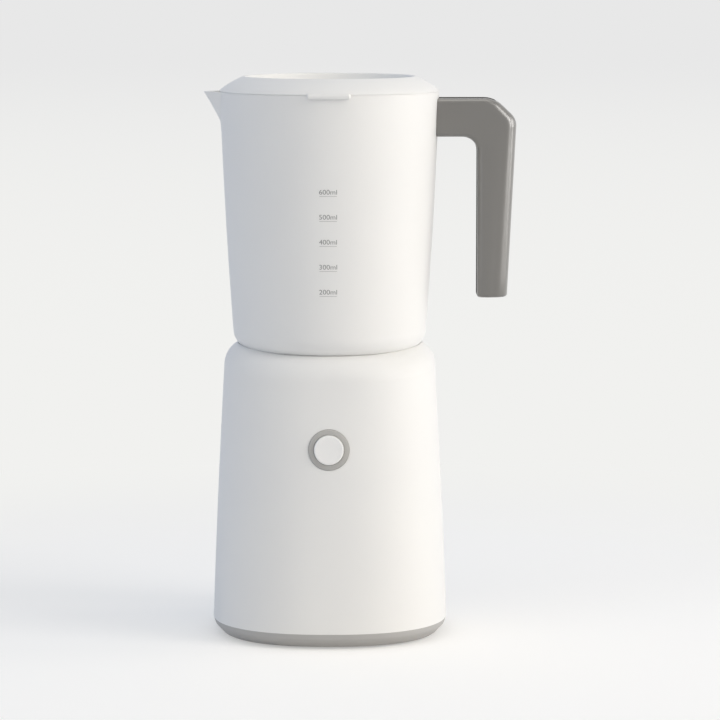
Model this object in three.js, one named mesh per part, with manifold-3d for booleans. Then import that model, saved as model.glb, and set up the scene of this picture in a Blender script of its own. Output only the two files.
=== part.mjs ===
// Countertop nut milk maker: a motor base, a heated double-walled jug that lifts off it, and a lid.
// Millimetres, +Z up. The origin lies on the drive axis, on the table that the feet stand on.
// The button faces -Y, the handle +X and the spout -X.
import * as THREE from 'three';
import { mergeVertices } from 'three/addons/utils/BufferGeometryUtils.js';
import Module from 'manifold-3d';

// Gap between pieces that are fixed together, gap where one turns or slides in another,
// and how far a cut runs past what it cuts.
const FIT = 0.3;
const RUN = 0.25;
const OVERRUN = 1;

// Base housing: a squarish plan that leans in, then a round shoulder up to a round mouth.
const STAND = 1;
const RING_HEIGHT = 7.7;
const HOUSING_HEIGHT = 147.2;
const HOUSING_FOOT_HALF = 64.2;
const HOUSING_HEAD_HALF = 58;
const HOUSING_BULGE = 0.35;
const HOUSING_WALL = 2.6;
const SHOULDER = 13;
const MOUTH_RADIUS = 47.5;
const LIP_DEPTH = 5.6;
const LIP_WALL = 2.5;
const planPower = 2.35;

// Base band in two slopes, with a tongue inside the housing and a ledge over the bottom cover.
const BAND_STEP = 3;
const BAND_STEP_IN = 0.9;
const BAND_FOOT_IN = 5.4;
const BAND_LAND = 3;
const LEDGE_WIDTH = 2.8;
const LEDGE_THICK = 2.2;
const TONGUE_HEIGHT = 3;
const TONGUE_WALL = 2;

// Bottom cover, its screw turrets, its feet and its cooling slots.
const COVER_THICK = 2.4;
const TURRET_RADIUS = 5.4;
const TURRET_HEIGHT = 4;
const TURRET_ROOF = 2;
const COVER_SCREW_INSET = 12.8;
const COVER_SCREW_Y = 14;
const BOSS_RADIUS = 4;
const BOSS_TOP = 40;
const RIB_THICK = 2;
const SCREW_RADIUS = 1.5;
const SCREW_HEAD_RADIUS = 3;
const SCREW_HEAD_THICK = 2;
const SCREW_LENGTH = 12;
const FOOT_INSET = 25.8;
const FOOT_RADIUS = 6;
const FOOT_CHAMFER = 0.6;
const FOOT_POCKET = 1.2;
const SLOT_WIDTH = 2.6;
const SLOT_INNER_RADIUS = 13;
const SLOT_OUTER_RADIUS = 27;
const slotCount = 12;

// Well that the jug's spigot drops into.
const WELL_DEPTH = 24.9;
const WELL_RADIUS = 43.2;
const WELL_WALL = 2;
const WELL_FLOOR_THICK = 2.5;
const WELL_RIM_SINK = 2.4;
const WELL_FLANGE_THICK = 2.5;
const WELL_FLANGE_RADIUS = 51.3;
const PAD_HEIGHT = 2.2;
const PAD_INNER_RADIUS = 36;
const PAD_OUTER_RADIUS = 40;
const SEAL_HOLE_RADIUS = 8;

// Button in its grey ring, and the push switch on the control board behind it.
const BUTTON_DROP = 47.9;
const BEZEL_RADIUS = 11;
const BEZEL_PROUD = 0.5;
const BEZEL_SINK = 1.3;
const BEZEL_SLEEVE_RADIUS = 9.4;
const BEZEL_DEPTH = 6;
const CAP_RADIUS = 7.95;
const CAP_PROUD = 1.1;
const CAP_FLANGE_RADIUS = 9;
const CAP_FLANGE_THICK = 1;
const CAP_STEM_RADIUS = 2.5;
const BUTTON_TRAVEL = 0.8;
const BACKING_RADIUS = 14;
const BACKING_DEPTH = 2.4;
const BOARD_SETBACK = 14;
const BOARD_THICK = 1.6;
const CONTROL_BOARD_SIZE = 36;
const CONTROL_POST_INSET = 4.5;
const POST_RADIUS = 2.5;
const PIN_RADIUS = 1.2;
const SWITCH_SIZE = 12;
const SWITCH_DEPTH = 4.3;
const PLUNGER_RADIUS = 1.8;
const PLUNGER_LENGTH = 3.2;
const PLUNGER_PROUD = 1.5;

// Power board on the left wall, with its relay and its capacitor.
const POWER_BOARD_RISE = 7.4;
const POWER_BOARD_SETBACK = 8;
const POWER_BOARD_WIDTH = 50;
const POWER_BOARD_HEIGHT = 62;
const RELAY_WIDTH = 19;
const RELAY_HEIGHT = 15.5;
const RELAY_DEPTH = 14;
const RELAY_EDGE = 7.25;
const CAPACITOR_RADIUS = 6.3;
const CAPACITOR_LENGTH = 14;
const CAPACITOR_EDGE = 9.7;

// Appliance inlet in the back.
const INLET_Z = 34;
const INLET_FLANGE_WIDTH = 31;
const INLET_FLANGE_HEIGHT = 24;
const INLET_FLANGE_THICK = 2;
const INLET_BODY_WIDTH = 27.4;
const INLET_BODY_HEIGHT = 20.4;
const INLET_BODY_DEPTH = 21;
const INLET_MOUTH_WIDTH = 24.4;
const INLET_MOUTH_HEIGHT = 17.4;
const INLET_MOUTH_DEPTH = 16.5;
const INLET_CORNER = 4;
const INLET_PIN_WIDTH = 2;
const INLET_PIN_HEIGHT = 4;
const INLET_PIN_LENGTH = 14;
const INLET_PIN_PITCH = 7;
const INLET_PIN_DROP = 2;
const INLET_EARTH_RISE = 3;
const INLET_BACKING = 3.4;

// Motor: laminated stator, two field coils, two brackets with bearings, and the brushes.
const STACK_WIDTH = 52;
const STACK_DEPTH = 57;
const STACK_CORNER = 9;
const stackShare = 0.25;
const BORE_RADIUS = 16;
const POLE_HALF = 12.5;
const WINDOW_INNER = 17.5;
const WINDOW_OUTER = 23.3;
const WINDOW_WIDTH = 8.5;
const COIL_OVERHANG = 6;
const BRACKET_WIDTH = 52;
const BRACKET_DEPTH = 52;
const BRACKET_CORNER = 10;
const BRACKET_THICK = 4;
const LEG_THICK = 4.2;
const LEG_WIDTH = 24;
const TOP_LEG_LENGTH = 10;
const lowerLegShare = 0.28;
const MOUNT_POST_RADIUS = 4;
const MOUNT_POST_LENGTH = 10;
const MOUNT_POST_PLACE = 20;
const BEARING_RADIUS = 11;
const BEARING_BORE = 4;
const BEARING_WIDTH = 7;
const CUP_WALL = 2.4;
const CUP_HEIGHT = 9.8;
const CUP_EYE = 6.5;
const BRUSH_WIDTH = 5;
const BRUSH_HEIGHT = 9;
const BRUSH_LENGTH = 15;
const HOLDER_WALL = 1.8;
const HOLDER_LENGTH = 20;

// Rotor: shaft, core with its winding, commutator, fan and the male star of the coupling.
const SHAFT_RADIUS = 4;
const CORE_RADIUS = 15.5;
const CORE_SLOT_WIDTH = 2.6;
const CORE_SLOT_DEPTH = 6.5;
const coreSlots = 10;
const END_TURN_HEIGHT = 8;
const COMMUTATOR_RADIUS = 9.8;
const COMMUTATOR_HEIGHT = 12;
const COMMUTATOR_GAP = 2;
const MICA_WIDTH = 0.8;
const MICA_DEPTH = 1;
const micaSlots = 10;
const FAN_RADIUS = 28;
const FAN_HUB_RADIUS = 7;
const FAN_HEIGHT = 12;
const FAN_PLATE = 1.6;
const FAN_BLADE_THICK = 1.6;
const FAN_BLADE_INNER_RADIUS = 12;
const FAN_GAP = 2.5;
const fanBlades = 9;
const SEAL_RADIUS = 10;
const SEAL_FLANGE_THICK = 1.6;
const STAR_HUB_RADIUS = 10;
const STAR_HUB_HEIGHT = 2.4;
const STAR_HEIGHT = 7;
const STAR_TIP_RADIUS = 8.5;
const STAR_ROOT_RADIUS = 5.6;
const STAR_TIP_WIDTH = 3;
const STAR_ROOT_WIDTH = 4;
const STAR_PLAY = 0.4;
const starTeeth = 6;

// Jug wall: a round corner at its foot, then a slightly bowed side up to the rim, and the spout.
const JUG_SINK = 0.4;
const JUG_HEIGHT = 141;
const JUG_FOOT_RADIUS = 52.8;
const JUG_RIM_RADIUS = 59.6;
const JUG_BULGE = 0.65;
const JUG_CORNER = 11.6;
const JUG_WALL = 2.2;
const JUG_RIM_CHAMFER = 0.5;
const JUG_OPENING_RADIUS = 38.6;
const LINER_LEDGE_DROP = 8.3;
const LINER_LEDGE_HEIGHT = 3;
const LINER_LEDGE_WIDTH = 2.2;
const SPOUT_REACH = 8.8;
const SPOUT_HALF_WIDTH = 13;
const SPOUT_HEIGHT = 16.5;
const SPOUT_WALL = 1.9;
const spoutToeShare = 0.05;
const spoutSlopePower = 1.15;
const spoutPlanPower = 1.4;

// Steel cup inside the jug.
const LINER_WALL = 0.8;
const LINER_CORNER = 9;
const LINER_FOOT_RADIUS = 45.8;
const LINER_RIM_RADIUS = 53.2;
const LINER_FLANGE_RADIUS = 56.6;

// Heater under the cup.
const PLATE_RADIUS = 35.8;
const PLATE_THICK = 3.2;
const ELEMENT_RING_RADIUS = 29;
const ELEMENT_RADIUS = 3.2;
const ELEMENT_LEG = 9;
const elementOpenAngle = 50;
const THERMOSTAT_RADIUS = 5.5;
const THERMOSTAT_HEIGHT = 6;
const THERMOSTAT_PLACE = 19.3;

// Spigot and cover under the jug, with the plug that meets the socket in the well.
const SPIGOT_PLAY = 0.6;
const SPIGOT_WALL = 2.2;
const SPIGOT_FLOOR = 2.2;
const SPIGOT_FLANGE = 2.7;
const SPIGOT_EDGE = 1;
const COLLAR_WALL = 1.6;
const COLLAR_HEIGHT = 2;
const COUPLER_HOLE_RADIUS = 15;
const PLUG_PLACE = 30;
const PLUG_WIDTH = 20;
const PLUG_DEPTH = 9;
const PLUG_FLANGE = 2;
const PLUG_HEIGHT = 5;
const PLUG_PIN_RADIUS = 1.2;
const PLUG_PIN_LENGTH = 7;
const PLUG_PIN_PITCH = 6;
const plugPins = 3;
const SOCKET_HOLE_RADIUS = 1.7;
const SOCKET_HEIGHT = 7;

// Blade unit: bearing housing through the floor of the cup, its nut, and the blades on their shaft.
const HOUSING_BARREL_RADIUS = 8;
const BARREL_LENGTH = 8;
const HOUSING_FLANGE_RADIUS = 13;
const HOUSING_FLANGE_THICK = 2.5;
const NUT_RADIUS = 13;
const NUT_THICK = 3.6;
const BLADE_SHOULDER_RADIUS = 6.5;
const BLADE_SHOULDER_THICK = 1.2;
const BLADE_NECK_RADIUS = 3;
const BLADE_NECK_FLAT = 2.2;
const BLADE_REACH = 24;
const BLADE_WIDTH = 11;
const BLADE_TIP_WIDTH = 4;
const BLADE_THICK = 1.2;
const BLADE_HUB = 14.5;
const BLADE_EDGE = 2.4;
const lowerBladeTilt = -14;
const upperBladeTilt = 32;
const BLADE_NUT_RADIUS = 6.5;
const BLADE_NUT_HEIGHT = 6;
const BLADE_NUT_WEB = 2;
const COUPLER_RADIUS = 12;
const COUPLER_WEB = 2;
const COUPLER_HUB_RADIUS = 7.5;
const COUPLER_HUB_HEIGHT = 4;
const COUPLER_GAP = 0.6;

// Handle with an inlay along its inner side, and its two screws.
const HANDLE_DROP = 3.5;
const HANDLE_ARM = 20;
const HANDLE_REACH = 42;
const HANDLE_HEIGHT = 108.2;
const HANDLE_DEPTH = 24;
const GRIP_TOP_WIDTH = 21.3;
const GRIP_FOOT_WIDTH = 16.6;
const HANDLE_BEND_WIDTH = 16.6;
const HANDLE_BEND_HEIGHT = 17;
const handleBendFlatShare = 1.25;
const HANDLE_INNER_BEND = 7.2;
const HANDLE_EDGE = 4.6;
const INLAY_WIDTH = 12.5;
const INLAY_DEPTH = 2.2;
const INLAY_END = 6;
const HANDLE_SCREW_UPPER_DROP = 14.3;
const HANDLE_SCREW_LENGTH = 9;
const HANDLE_SCREW_HEAD = 1.6;

// Lid: a sloping shoulder round a recess, a skirt with the seal, a tab and steam vents.
const LID_RADIUS = 59.7;
const LID_HEIGHT = 8;
const LID_BEND_IN = 3.8;
const LID_BEND_DROP = 4;
const LID_TOP_RADIUS = 46.4;
const LID_OPENING_RADIUS = 45.8;
const LID_RECESS_DEPTH = 11.8;
const LID_RECESS_RADIUS = 43.8;
const LID_WALL = 2.2;
const SKIRT_RADIUS = 52;
const SKIRT_WALL = 2.5;
const SKIRT_DEPTH = 13.3;
const SEAL_GROOVE_DEPTH = 1.3;
const SEAL_GROOVE_HEIGHT = 3.2;
const SEAL_GROOVE_RISE = 0.9;
const SEAL_BITE = 0.75;
const TAB_WIDTH = 23.5;
const TAB_PROUD = 3;
const TAB_DROP = 2.6;
const TAB_CAP = 1.2;
const VENT_RADIUS = 1.6;
const VENT_RING = 5.5;
const VENT_PLACE = 24;
const ventCount = 6;

// Facets round each kind of piece.
const bigSides = 40;
const hiddenSides = 24;
const smallSides = 16;
const tinySides = 8;

const wasm = await Module();
wasm.setup();
const turn = Math.PI * 2;
const degree = Math.PI / 180;

// Merges shared points, drops flat triangles and points every face outwards.
function welded(geometry) {
  const bare = new THREE.BufferGeometry();
  bare.setAttribute('position', geometry.getAttribute('position'));
  if (geometry.index) bare.setIndex(geometry.index);
  const merged = mergeVertices(bare, 1e-4);
  const place = merged.getAttribute('position');
  const kept = [];
  let volume = 0;
  const a = new THREE.Vector3();
  const b = new THREE.Vector3();
  const c = new THREE.Vector3();
  for (let i = 0; i < merged.index.count; i += 3) {
    const [p, q, r] = [0, 1, 2].map((step) => merged.index.getX(i + step));
    if (p === q || q === r || r === p) continue;
    a.fromBufferAttribute(place, p);
    b.fromBufferAttribute(place, q);
    c.fromBufferAttribute(place, r);
    volume += a.dot(b.cross(c));
    kept.push(p, q, r);
  }
  if (volume < 0) kept.reverse();
  merged.setIndex(kept);
  return merged;
}

// Turns a closed geometry into a solid that can be joined and cut.
function solid(shape) {
  if (!shape.isBufferGeometry) return shape;
  const closed = welded(shape);
  const mesh = new wasm.Mesh({
    numProp: 3,
    vertProperties: new Float32Array(closed.getAttribute('position').array),
    triVerts: new Uint32Array(closed.index.array),
  });
  return new wasm.Manifold(mesh);
}

function join(...shapes) {
  return shapes.map(solid).reduce((whole, next) => whole.add(next));
}

function cut(shape, ...tools) {
  return tools.map(solid).reduce((left, tool) => left.subtract(tool), solid(shape));
}

function common(first, second) {
  return solid(first).intersect(solid(second));
}

// Triangles of a finished solid, with a crisp normal on each face.
function faceted(shape) {
  const mesh = solid(shape).getMesh();
  const geometry = new THREE.BufferGeometry();
  geometry.setAttribute('position', new THREE.BufferAttribute(mesh.vertProperties, mesh.numProp));
  geometry.setIndex(new THREE.BufferAttribute(mesh.triVerts, 1));
  const flat = geometry.toNonIndexed();
  flat.computeVertexNormals();
  return flat;
}

function block(width, depth, height, x = 0, y = 0, z = 0) {
  return new THREE.BoxGeometry(width, depth, height).translate(x, y, z + height / 2);
}

function disc(radius, height, x = 0, y = 0, z = 0, sides = smallSides) {
  const geometry = new THREE.CylinderGeometry(radius, radius, height, sides);
  return geometry.rotateX(Math.PI / 2).translate(x, y, z + height / 2);
}

// Turns a closed outline of [radius, z] points about the drive axis.
function revolved(outline, sides = bigSides) {
  const loop = [...outline];
  const last = outline[outline.length - 1];
  if (outline[0][0] > 0 || last[0] > 0) loop.push(outline[0]);
  const points = loop.map(([radius, z]) => new THREE.Vector2(radius, z));
  return new THREE.LatheGeometry(points, sides).rotateX(Math.PI / 2);
}

function prism(shape, height, z = 0) {
  const options = { depth: height, bevelEnabled: false, curveSegments: 3 };
  return new THREE.ExtrudeGeometry(shape, options).translate(0, 0, z);
}

function outline(points) {
  return new THREE.Shape(points.map(([x, y]) => new THREE.Vector2(x, y)));
}

function roundedPlate(width, depth, corner) {
  const shape = new THREE.Shape();
  const x = width / 2 - corner;
  const y = depth / 2 - corner;
  shape.absarc(x, y, corner, 0, turn / 4);
  shape.absarc(-x, y, corner, turn / 4, turn / 2);
  shape.absarc(-x, -y, corner, turn / 2, turn * 3 / 4);
  shape.absarc(x, -y, corner, turn * 3 / 4, turn);
  return shape;
}

// Skins a stack of rings that hold the same number of points; a closed stack makes a hollow wall.
function skinned(rings, closed = false) {
  const count = rings[0].length;
  const points = rings.flat();
  const faces = [];
  const spans = closed ? rings.length : rings.length - 1;
  for (let level = 0; level < spans; level += 1) {
    const low = level * count;
    const high = ((level + 1) % rings.length) * count;
    for (let i = 0; i < count; i += 1) {
      const next = (i + 1) % count;
      faces.push(low + i, low + next, high + next, low + i, high + next, high + i);
    }
  }
  if (!closed) {
    for (let i = 1; i < count - 1; i += 1) {
      const top = (rings.length - 1) * count;
      faces.push(0, i + 1, i, top, top + i, top + i + 1);
    }
  }
  const geometry = new THREE.BufferGeometry();
  geometry.setAttribute('position', new THREE.Float32BufferAttribute(points.flat(), 3));
  geometry.setIndex(faces);
  return geometry;
}

// Plan of the housing at one height: a superellipse that becomes a circle at power 2.
function planRing(half, z, power = planPower, sides = bigSides) {
  return Array.from({ length: sides }, (_, i) => {
    const angle = turn * i / sides;
    const across = Math.abs(Math.cos(angle)) ** power + Math.abs(Math.sin(angle)) ** power;
    const radius = half / across ** (1 / power);
    return [radius * Math.cos(angle), radius * Math.sin(angle), z];
  });
}

function planBlock(half, height, z) {
  return skinned([planRing(half, z), planRing(half, z + height)]);
}

// Straight run from one size to another with a bow in its middle, and its slope.
function bowed(low, high, bow, share) {
  return low + (high - low) * share + 4 * bow * share * (1 - share);
}

// Heights that the pieces of the base and of the jug share.
const bandTop = STAND + RING_HEIGHT;
const baseTop = bandTop + HOUSING_HEIGHT;
const shoulderZ = baseTop - SHOULDER;
const wellFloor = baseTop - WELL_DEPTH;
const wellUnder = wellFloor - WELL_FLOOR_THICK;
const coverTop = STAND + COVER_THICK;
const turretTop = coverTop + TURRET_HEIGHT;
const screwSeat = turretTop - TURRET_ROOF;
const jugFoot = baseTop - JUG_SINK;
const jugRim = jugFoot + JUG_HEIGHT;
const spigotFoot = wellFloor + PAD_HEIGHT + FIT;
const cupUnder = jugFoot + JUG_WALL + FIT;
const cupFloor = cupUnder + LINER_WALL;
const plateUnder = cupUnder - FIT - PLATE_THICK;
const bandFootHalf = HOUSING_FOOT_HALF - BAND_FOOT_IN;

function housingShare(z) {
  return (z - bandTop) / (shoulderZ - bandTop);
}

function housingHalf(z) {
  return bowed(HOUSING_FOOT_HALF, HOUSING_HEAD_HALF, HOUSING_BULGE, housingShare(z));
}

function housingLean(z) {
  const bow = 4 * HOUSING_BULGE * (1 - 2 * housingShare(z));
  return Math.atan((HOUSING_FOOT_HALF - HOUSING_HEAD_HALF - bow) / (shoulderZ - bandTop));
}

// A frame on the wall of the housing: local z points out of the wall, local y up along it.
function wallFrame(z, around, lean = housingLean(z)) {
  const group = new THREE.Group();
  const out = new THREE.Vector3(0, -housingHalf(z), z).applyAxisAngle(new THREE.Vector3(0, 0, 1), around);
  group.position.copy(out);
  group.rotation.set(Math.PI / 2 - lean, 0, around, 'ZXY');
  group.updateMatrixWorld(true);
  return group;
}

const buttonFrame = wallFrame(baseTop - BUTTON_DROP, 0);
const powerFrame = wallFrame((bandTop + wellUnder) / 2 + POWER_BOARD_RISE, -turn / 4);
const inletFrame = wallFrame(INLET_Z, turn / 2, 0);

function inFrame(frame, shape) {
  return shape.applyMatrix4(frame.matrixWorld);
}

// Skin of the housing from its foot to its mouth, drawn in by the given depth.
function housingRings(inset, edgeRadius, sideSteps, bendSteps) {
  const centre = housingHalf(shoulderZ) - SHOULDER;
  const bend = SHOULDER - inset;
  const last = Math.acos((edgeRadius - centre) / bend);
  const side = Array.from({ length: sideSteps }, (_, i) => {
    const z = bandTop + (shoulderZ - bandTop) * i / sideSteps;
    return planRing(housingHalf(z) - inset, z);
  });
  const round = Array.from({ length: bendSteps + 1 }, (_, i) => {
    const share = i / bendSteps;
    const angle = last * share;
    const half = centre + bend * Math.cos(angle);
    return planRing(half, shoulderZ + bend * Math.sin(angle), planPower + (2 - planPower) * share);
  });
  return [...side, ...round];
}

// The four places of a piece that repeats at the front and rear, left and right.
function cornerPlaces(x, y) {
  return [['front_left', -x, -y], ['front_right', x, -y], ['rear_left', -x, y], ['rear_right', x, y]];
}

const coverScrewPlaces = cornerPlaces(bandFootHalf - COVER_SCREW_INSET, COVER_SCREW_Y);
const footPlaces = cornerPlaces(bandFootHalf - FOOT_INSET, bandFootHalf - FOOT_INSET);

function boardPostPlaces(width, height) {
  const x = width / 2 - CONTROL_POST_INSET;
  const y = height / 2 - CONTROL_POST_INSET;
  return [[-x, -y], [x, -y], [-x, y], [x, y]];
}

// Posts with pins that a board is staked on, in the frame of its wall.
function boardPosts(frame, width, height, setback) {
  const start = -HOUSING_WALL / 2;
  const shelf = -setback + FIT;
  const tip = -setback - 2 * BOARD_THICK;
  return boardPostPlaces(width, height).flatMap(([x, y]) => [
    inFrame(frame, disc(POST_RADIUS, start - shelf, x, y, shelf, tinySides)),
    inFrame(frame, disc(PIN_RADIUS, start - tip, x, y, tip, tinySides)),
  ]);
}

function boardPlate(width, height, setback) {
  const back = -setback - BOARD_THICK;
  const holes = boardPostPlaces(width, height).map(([x, y]) =>
    disc(PIN_RADIUS + FIT, BOARD_THICK + 2 * OVERRUN, x, y, back - OVERRUN, tinySides));
  return cut(block(width, height, BOARD_THICK, 0, 0, back), ...holes);
}

function baseShell() {
  const outer = housingRings(0, MOUTH_RADIUS, 3, 5);
  const inner = housingRings(HOUSING_WALL, MOUTH_RADIUS + LIP_WALL, 2, 3);
  const lipFoot = baseTop - LIP_DEPTH;
  const lip = [
    planRing(MOUTH_RADIUS, lipFoot, 2),
    planRing(MOUTH_RADIUS + LIP_WALL, lipFoot, 2),
  ];
  const wall = solid(skinned([...outer, ...lip, ...inner.reverse()], true));
  const full = solid(skinned(outer));
  const bosses = coverScrewPlaces.flatMap(([, x, y]) => {
    const wallX = Math.sign(x) * (housingHalf(BOSS_TOP) - HOUSING_WALL / 2);
    const ribFoot = bandTop + TONGUE_HEIGHT + FIT + OVERRUN;
    const ribWidth = Math.abs(wallX - x);
    return [
      disc(BOSS_RADIUS, BOSS_TOP - turretTop - FIT, x, y, turretTop + FIT, tinySides),
      block(ribWidth, RIB_THICK, BOSS_TOP - ribFoot, (wallX + x) / 2, y, ribFoot),
    ];
  });
  const backing = inFrame(buttonFrame, disc(
    BACKING_RADIUS, BACKING_DEPTH, 0, 0, -HOUSING_WALL - BACKING_DEPTH + FIT, hiddenSides));
  const inletBacking = inFrame(inletFrame, block(
    INLET_FLANGE_WIDTH + 2 * HOUSING_WALL, INLET_FLANGE_HEIGHT + 2 * HOUSING_WALL, INLET_BACKING,
    0, 0, -HOUSING_WALL - INLET_BACKING + FIT));
  const fittings = join(...bosses, backing, inletBacking,
    ...boardPosts(buttonFrame, CONTROL_BOARD_SIZE, CONTROL_BOARD_SIZE, BOARD_SETBACK),
    ...boardPosts(powerFrame, POWER_BOARD_WIDTH, POWER_BOARD_HEIGHT, POWER_BOARD_SETBACK));
  const screwHoles = coverScrewPlaces.map(([, x, y]) =>
    disc(SCREW_RADIUS + FIT, SCREW_LENGTH + FIT, x, y, turretTop - OVERRUN, tinySides));
  const bezelPocket = inFrame(buttonFrame, disc(
    BEZEL_RADIUS + FIT, BEZEL_SINK + FIT + OVERRUN, 0, 0, -BEZEL_SINK - FIT, hiddenSides));
  const bezelHole = inFrame(buttonFrame, disc(
    BEZEL_SLEEVE_RADIUS + FIT, BEZEL_DEPTH + OVERRUN, 0, 0, -BEZEL_DEPTH, hiddenSides));
  const inletPocket = inFrame(inletFrame, prism(
    roundedPlate(INLET_FLANGE_WIDTH + 2 * FIT, INLET_FLANGE_HEIGHT + 2 * FIT, OVERRUN + FIT),
    INLET_FLANGE_THICK + FIT + OVERRUN, -INLET_FLANGE_THICK - FIT));
  const inletHole = inFrame(inletFrame, block(
    INLET_BODY_WIDTH + 2 * FIT, INLET_BODY_HEIGHT + 2 * FIT, INLET_BODY_DEPTH, 0, 0, -INLET_BODY_DEPTH));
  const holes = [...screwHoles, bezelPocket, bezelHole, inletPocket, inletHole];
  return cut(join(wall, common(fittings, full)), ...holes);
}

function baseRing() {
  const top = bandTop - FIT;
  const stepZ = bandTop - BAND_STEP;
  const landHalf = bandFootHalf - BAND_LAND;
  const ledgeZ = coverTop + FIT;
  const ledgeHalf = landHalf - LEDGE_WIDTH;
  const tongueHalf = HOUSING_FOOT_HALF - HOUSING_WALL - FIT;
  const tongueTop = bandTop + TONGUE_HEIGHT;
  const innerHalf = tongueHalf - TONGUE_WALL;
  const rings = [
    planRing(HOUSING_FOOT_HALF, top),
    planRing(HOUSING_FOOT_HALF - BAND_STEP_IN, stepZ),
    planRing(bandFootHalf, STAND),
    planRing(landHalf, STAND),
    planRing(landHalf, ledgeZ),
    planRing(ledgeHalf, ledgeZ),
    planRing(ledgeHalf, ledgeZ + LEDGE_THICK),
    planRing(innerHalf, ledgeZ + LEDGE_THICK),
    planRing(innerHalf, tongueTop),
    planRing(tongueHalf, tongueTop),
    planRing(tongueHalf, top),
  ];
  return solid(skinned(rings, true));
}

function bottomCover() {
  const plate = planBlock(bandFootHalf - BAND_LAND - FIT, COVER_THICK, STAND);
  const turrets = coverScrewPlaces.map(([, x, y]) =>
    disc(TURRET_RADIUS, turretTop - STAND, x, y, STAND, smallSides));
  const counterbores = coverScrewPlaces.map(([, x, y]) =>
    disc(SCREW_HEAD_RADIUS + FIT, screwSeat, x, y, 0, smallSides));
  const screwHoles = coverScrewPlaces.map(([, x, y]) =>
    disc(SCREW_RADIUS + FIT, turretTop + OVERRUN, x, y, 0, tinySides));
  const pockets = footPlaces.map(([, x, y]) =>
    disc(FOOT_RADIUS + FIT, FOOT_POCKET + OVERRUN, x, y, STAND - OVERRUN, smallSides));
  const slots = Array.from({ length: slotCount }, (_, i) => {
    const length = SLOT_OUTER_RADIUS - SLOT_INNER_RADIUS;
    const middle = (SLOT_OUTER_RADIUS + SLOT_INNER_RADIUS) / 2;
    return block(length, SLOT_WIDTH, COVER_THICK + 2 * OVERRUN, middle, 0, STAND - OVERRUN)
      .rotateZ(turn * i / slotCount);
  });
  return cut(join(plate, ...turrets), ...counterbores, ...screwHoles, ...pockets, ...slots);
}

function foot() {
  const height = STAND + FOOT_POCKET - FIT;
  return revolved([[0, 0], [FOOT_RADIUS - FOOT_CHAMFER, 0], [FOOT_RADIUS, FOOT_CHAMFER],
    [FOOT_RADIUS, height], [0, height]], smallSides);
}

// Screw that stands on its head, with its shank up.
function screw(headThick, length) {
  return revolved([[0, 0], [SCREW_HEAD_RADIUS, 0], [SCREW_HEAD_RADIUS, headThick],
    [SCREW_RADIUS, headThick], [SCREW_RADIUS, headThick + length], [0, headThick + length]], tinySides);
}

function jugSeat() {
  const rimTop = baseTop - WELL_RIM_SINK;
  const rimOuter = MOUTH_RADIUS - FIT;
  const flangeTop = baseTop - LIP_DEPTH - FIT;
  const flangeFoot = flangeTop - WELL_FLANGE_THICK;
  const outer = WELL_RADIUS + WELL_WALL;
  const body = revolved([
    [0, wellUnder], [outer, wellUnder], [outer, flangeFoot], [WELL_FLANGE_RADIUS, flangeFoot],
    [WELL_FLANGE_RADIUS, flangeTop], [rimOuter, flangeTop], [rimOuter, rimTop], [WELL_RADIUS, rimTop],
    [WELL_RADIUS, wellFloor], [PAD_OUTER_RADIUS, wellFloor], [PAD_OUTER_RADIUS, wellFloor + PAD_HEIGHT],
    [PAD_INNER_RADIUS, wellFloor + PAD_HEIGHT], [PAD_INNER_RADIUS, wellFloor], [0, wellFloor],
  ], hiddenSides);
  const posts = [[-1, -1], [1, -1], [-1, 1], [1, 1]].map(([x, y]) =>
    disc(MOUNT_POST_RADIUS, MOUNT_POST_LENGTH + FIT, x * MOUNT_POST_PLACE, y * MOUNT_POST_PLACE,
      wellUnder - MOUNT_POST_LENGTH, tinySides));
  const through = PAD_HEIGHT + WELL_FLOOR_THICK + 2 * OVERRUN;
  const sealHole = disc(SEAL_HOLE_RADIUS, through, 0, 0, wellUnder - OVERRUN, smallSides);
  const socketHole = block(PLUG_WIDTH + 2 * FIT, PLUG_DEPTH + 2 * FIT, through,
    0, PLUG_PLACE, wellUnder - OVERRUN);
  return cut(join(body, ...posts), sealHole, socketHole);
}

function seatSocket() {
  const top = spigotFoot - FIT;
  const flangeTop = wellUnder - FIT;
  const width = PLUG_WIDTH + 2 * PLUG_FLANGE;
  const depth = PLUG_DEPTH + 2 * PLUG_FLANGE;
  const body = join(
    block(width, depth, SOCKET_HEIGHT, 0, 0, flangeTop - SOCKET_HEIGHT),
    block(PLUG_WIDTH, PLUG_DEPTH, top - flangeTop + FIT, 0, 0, flangeTop - FIT));
  const holeFoot = spigotFoot - PLUG_PIN_LENGTH - 2 * FIT;
  const holes = plugPinPlaces().map((x) =>
    disc(SOCKET_HOLE_RADIUS, PLUG_PIN_LENGTH + FIT + OVERRUN, x, 0, holeFoot, tinySides));
  return cut(body, ...holes);
}

function plugPinPlaces() {
  return Array.from({ length: plugPins }, (_, i) => (i - (plugPins - 1) / 2) * PLUG_PIN_PITCH);
}

function shaftSeal() {
  const under = wellUnder - SEAL_FLANGE_THICK;
  const over = wellFloor + FIT;
  const bore = SHAFT_RADIUS + RUN;
  const neck = SEAL_HOLE_RADIUS - FIT;
  return revolved([
    [bore, under], [neck, under], [neck, over],
    [SEAL_RADIUS, over], [SEAL_RADIUS, over + SEAL_FLANGE_THICK], [bore, over + SEAL_FLANGE_THICK],
  ], smallSides);
}

function buttonBezel() {
  const bore = CAP_RADIUS + RUN;
  return revolved([
    [bore, -BEZEL_DEPTH], [BEZEL_SLEEVE_RADIUS, -BEZEL_DEPTH], [BEZEL_SLEEVE_RADIUS, -BEZEL_SINK],
    [BEZEL_RADIUS, -BEZEL_SINK], [BEZEL_RADIUS, BEZEL_PROUD - FIT], [BEZEL_RADIUS - FIT, BEZEL_PROUD],
    [bore + FIT, BEZEL_PROUD], [bore, BEZEL_PROUD - FIT],
  ], hiddenSides);
}

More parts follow.
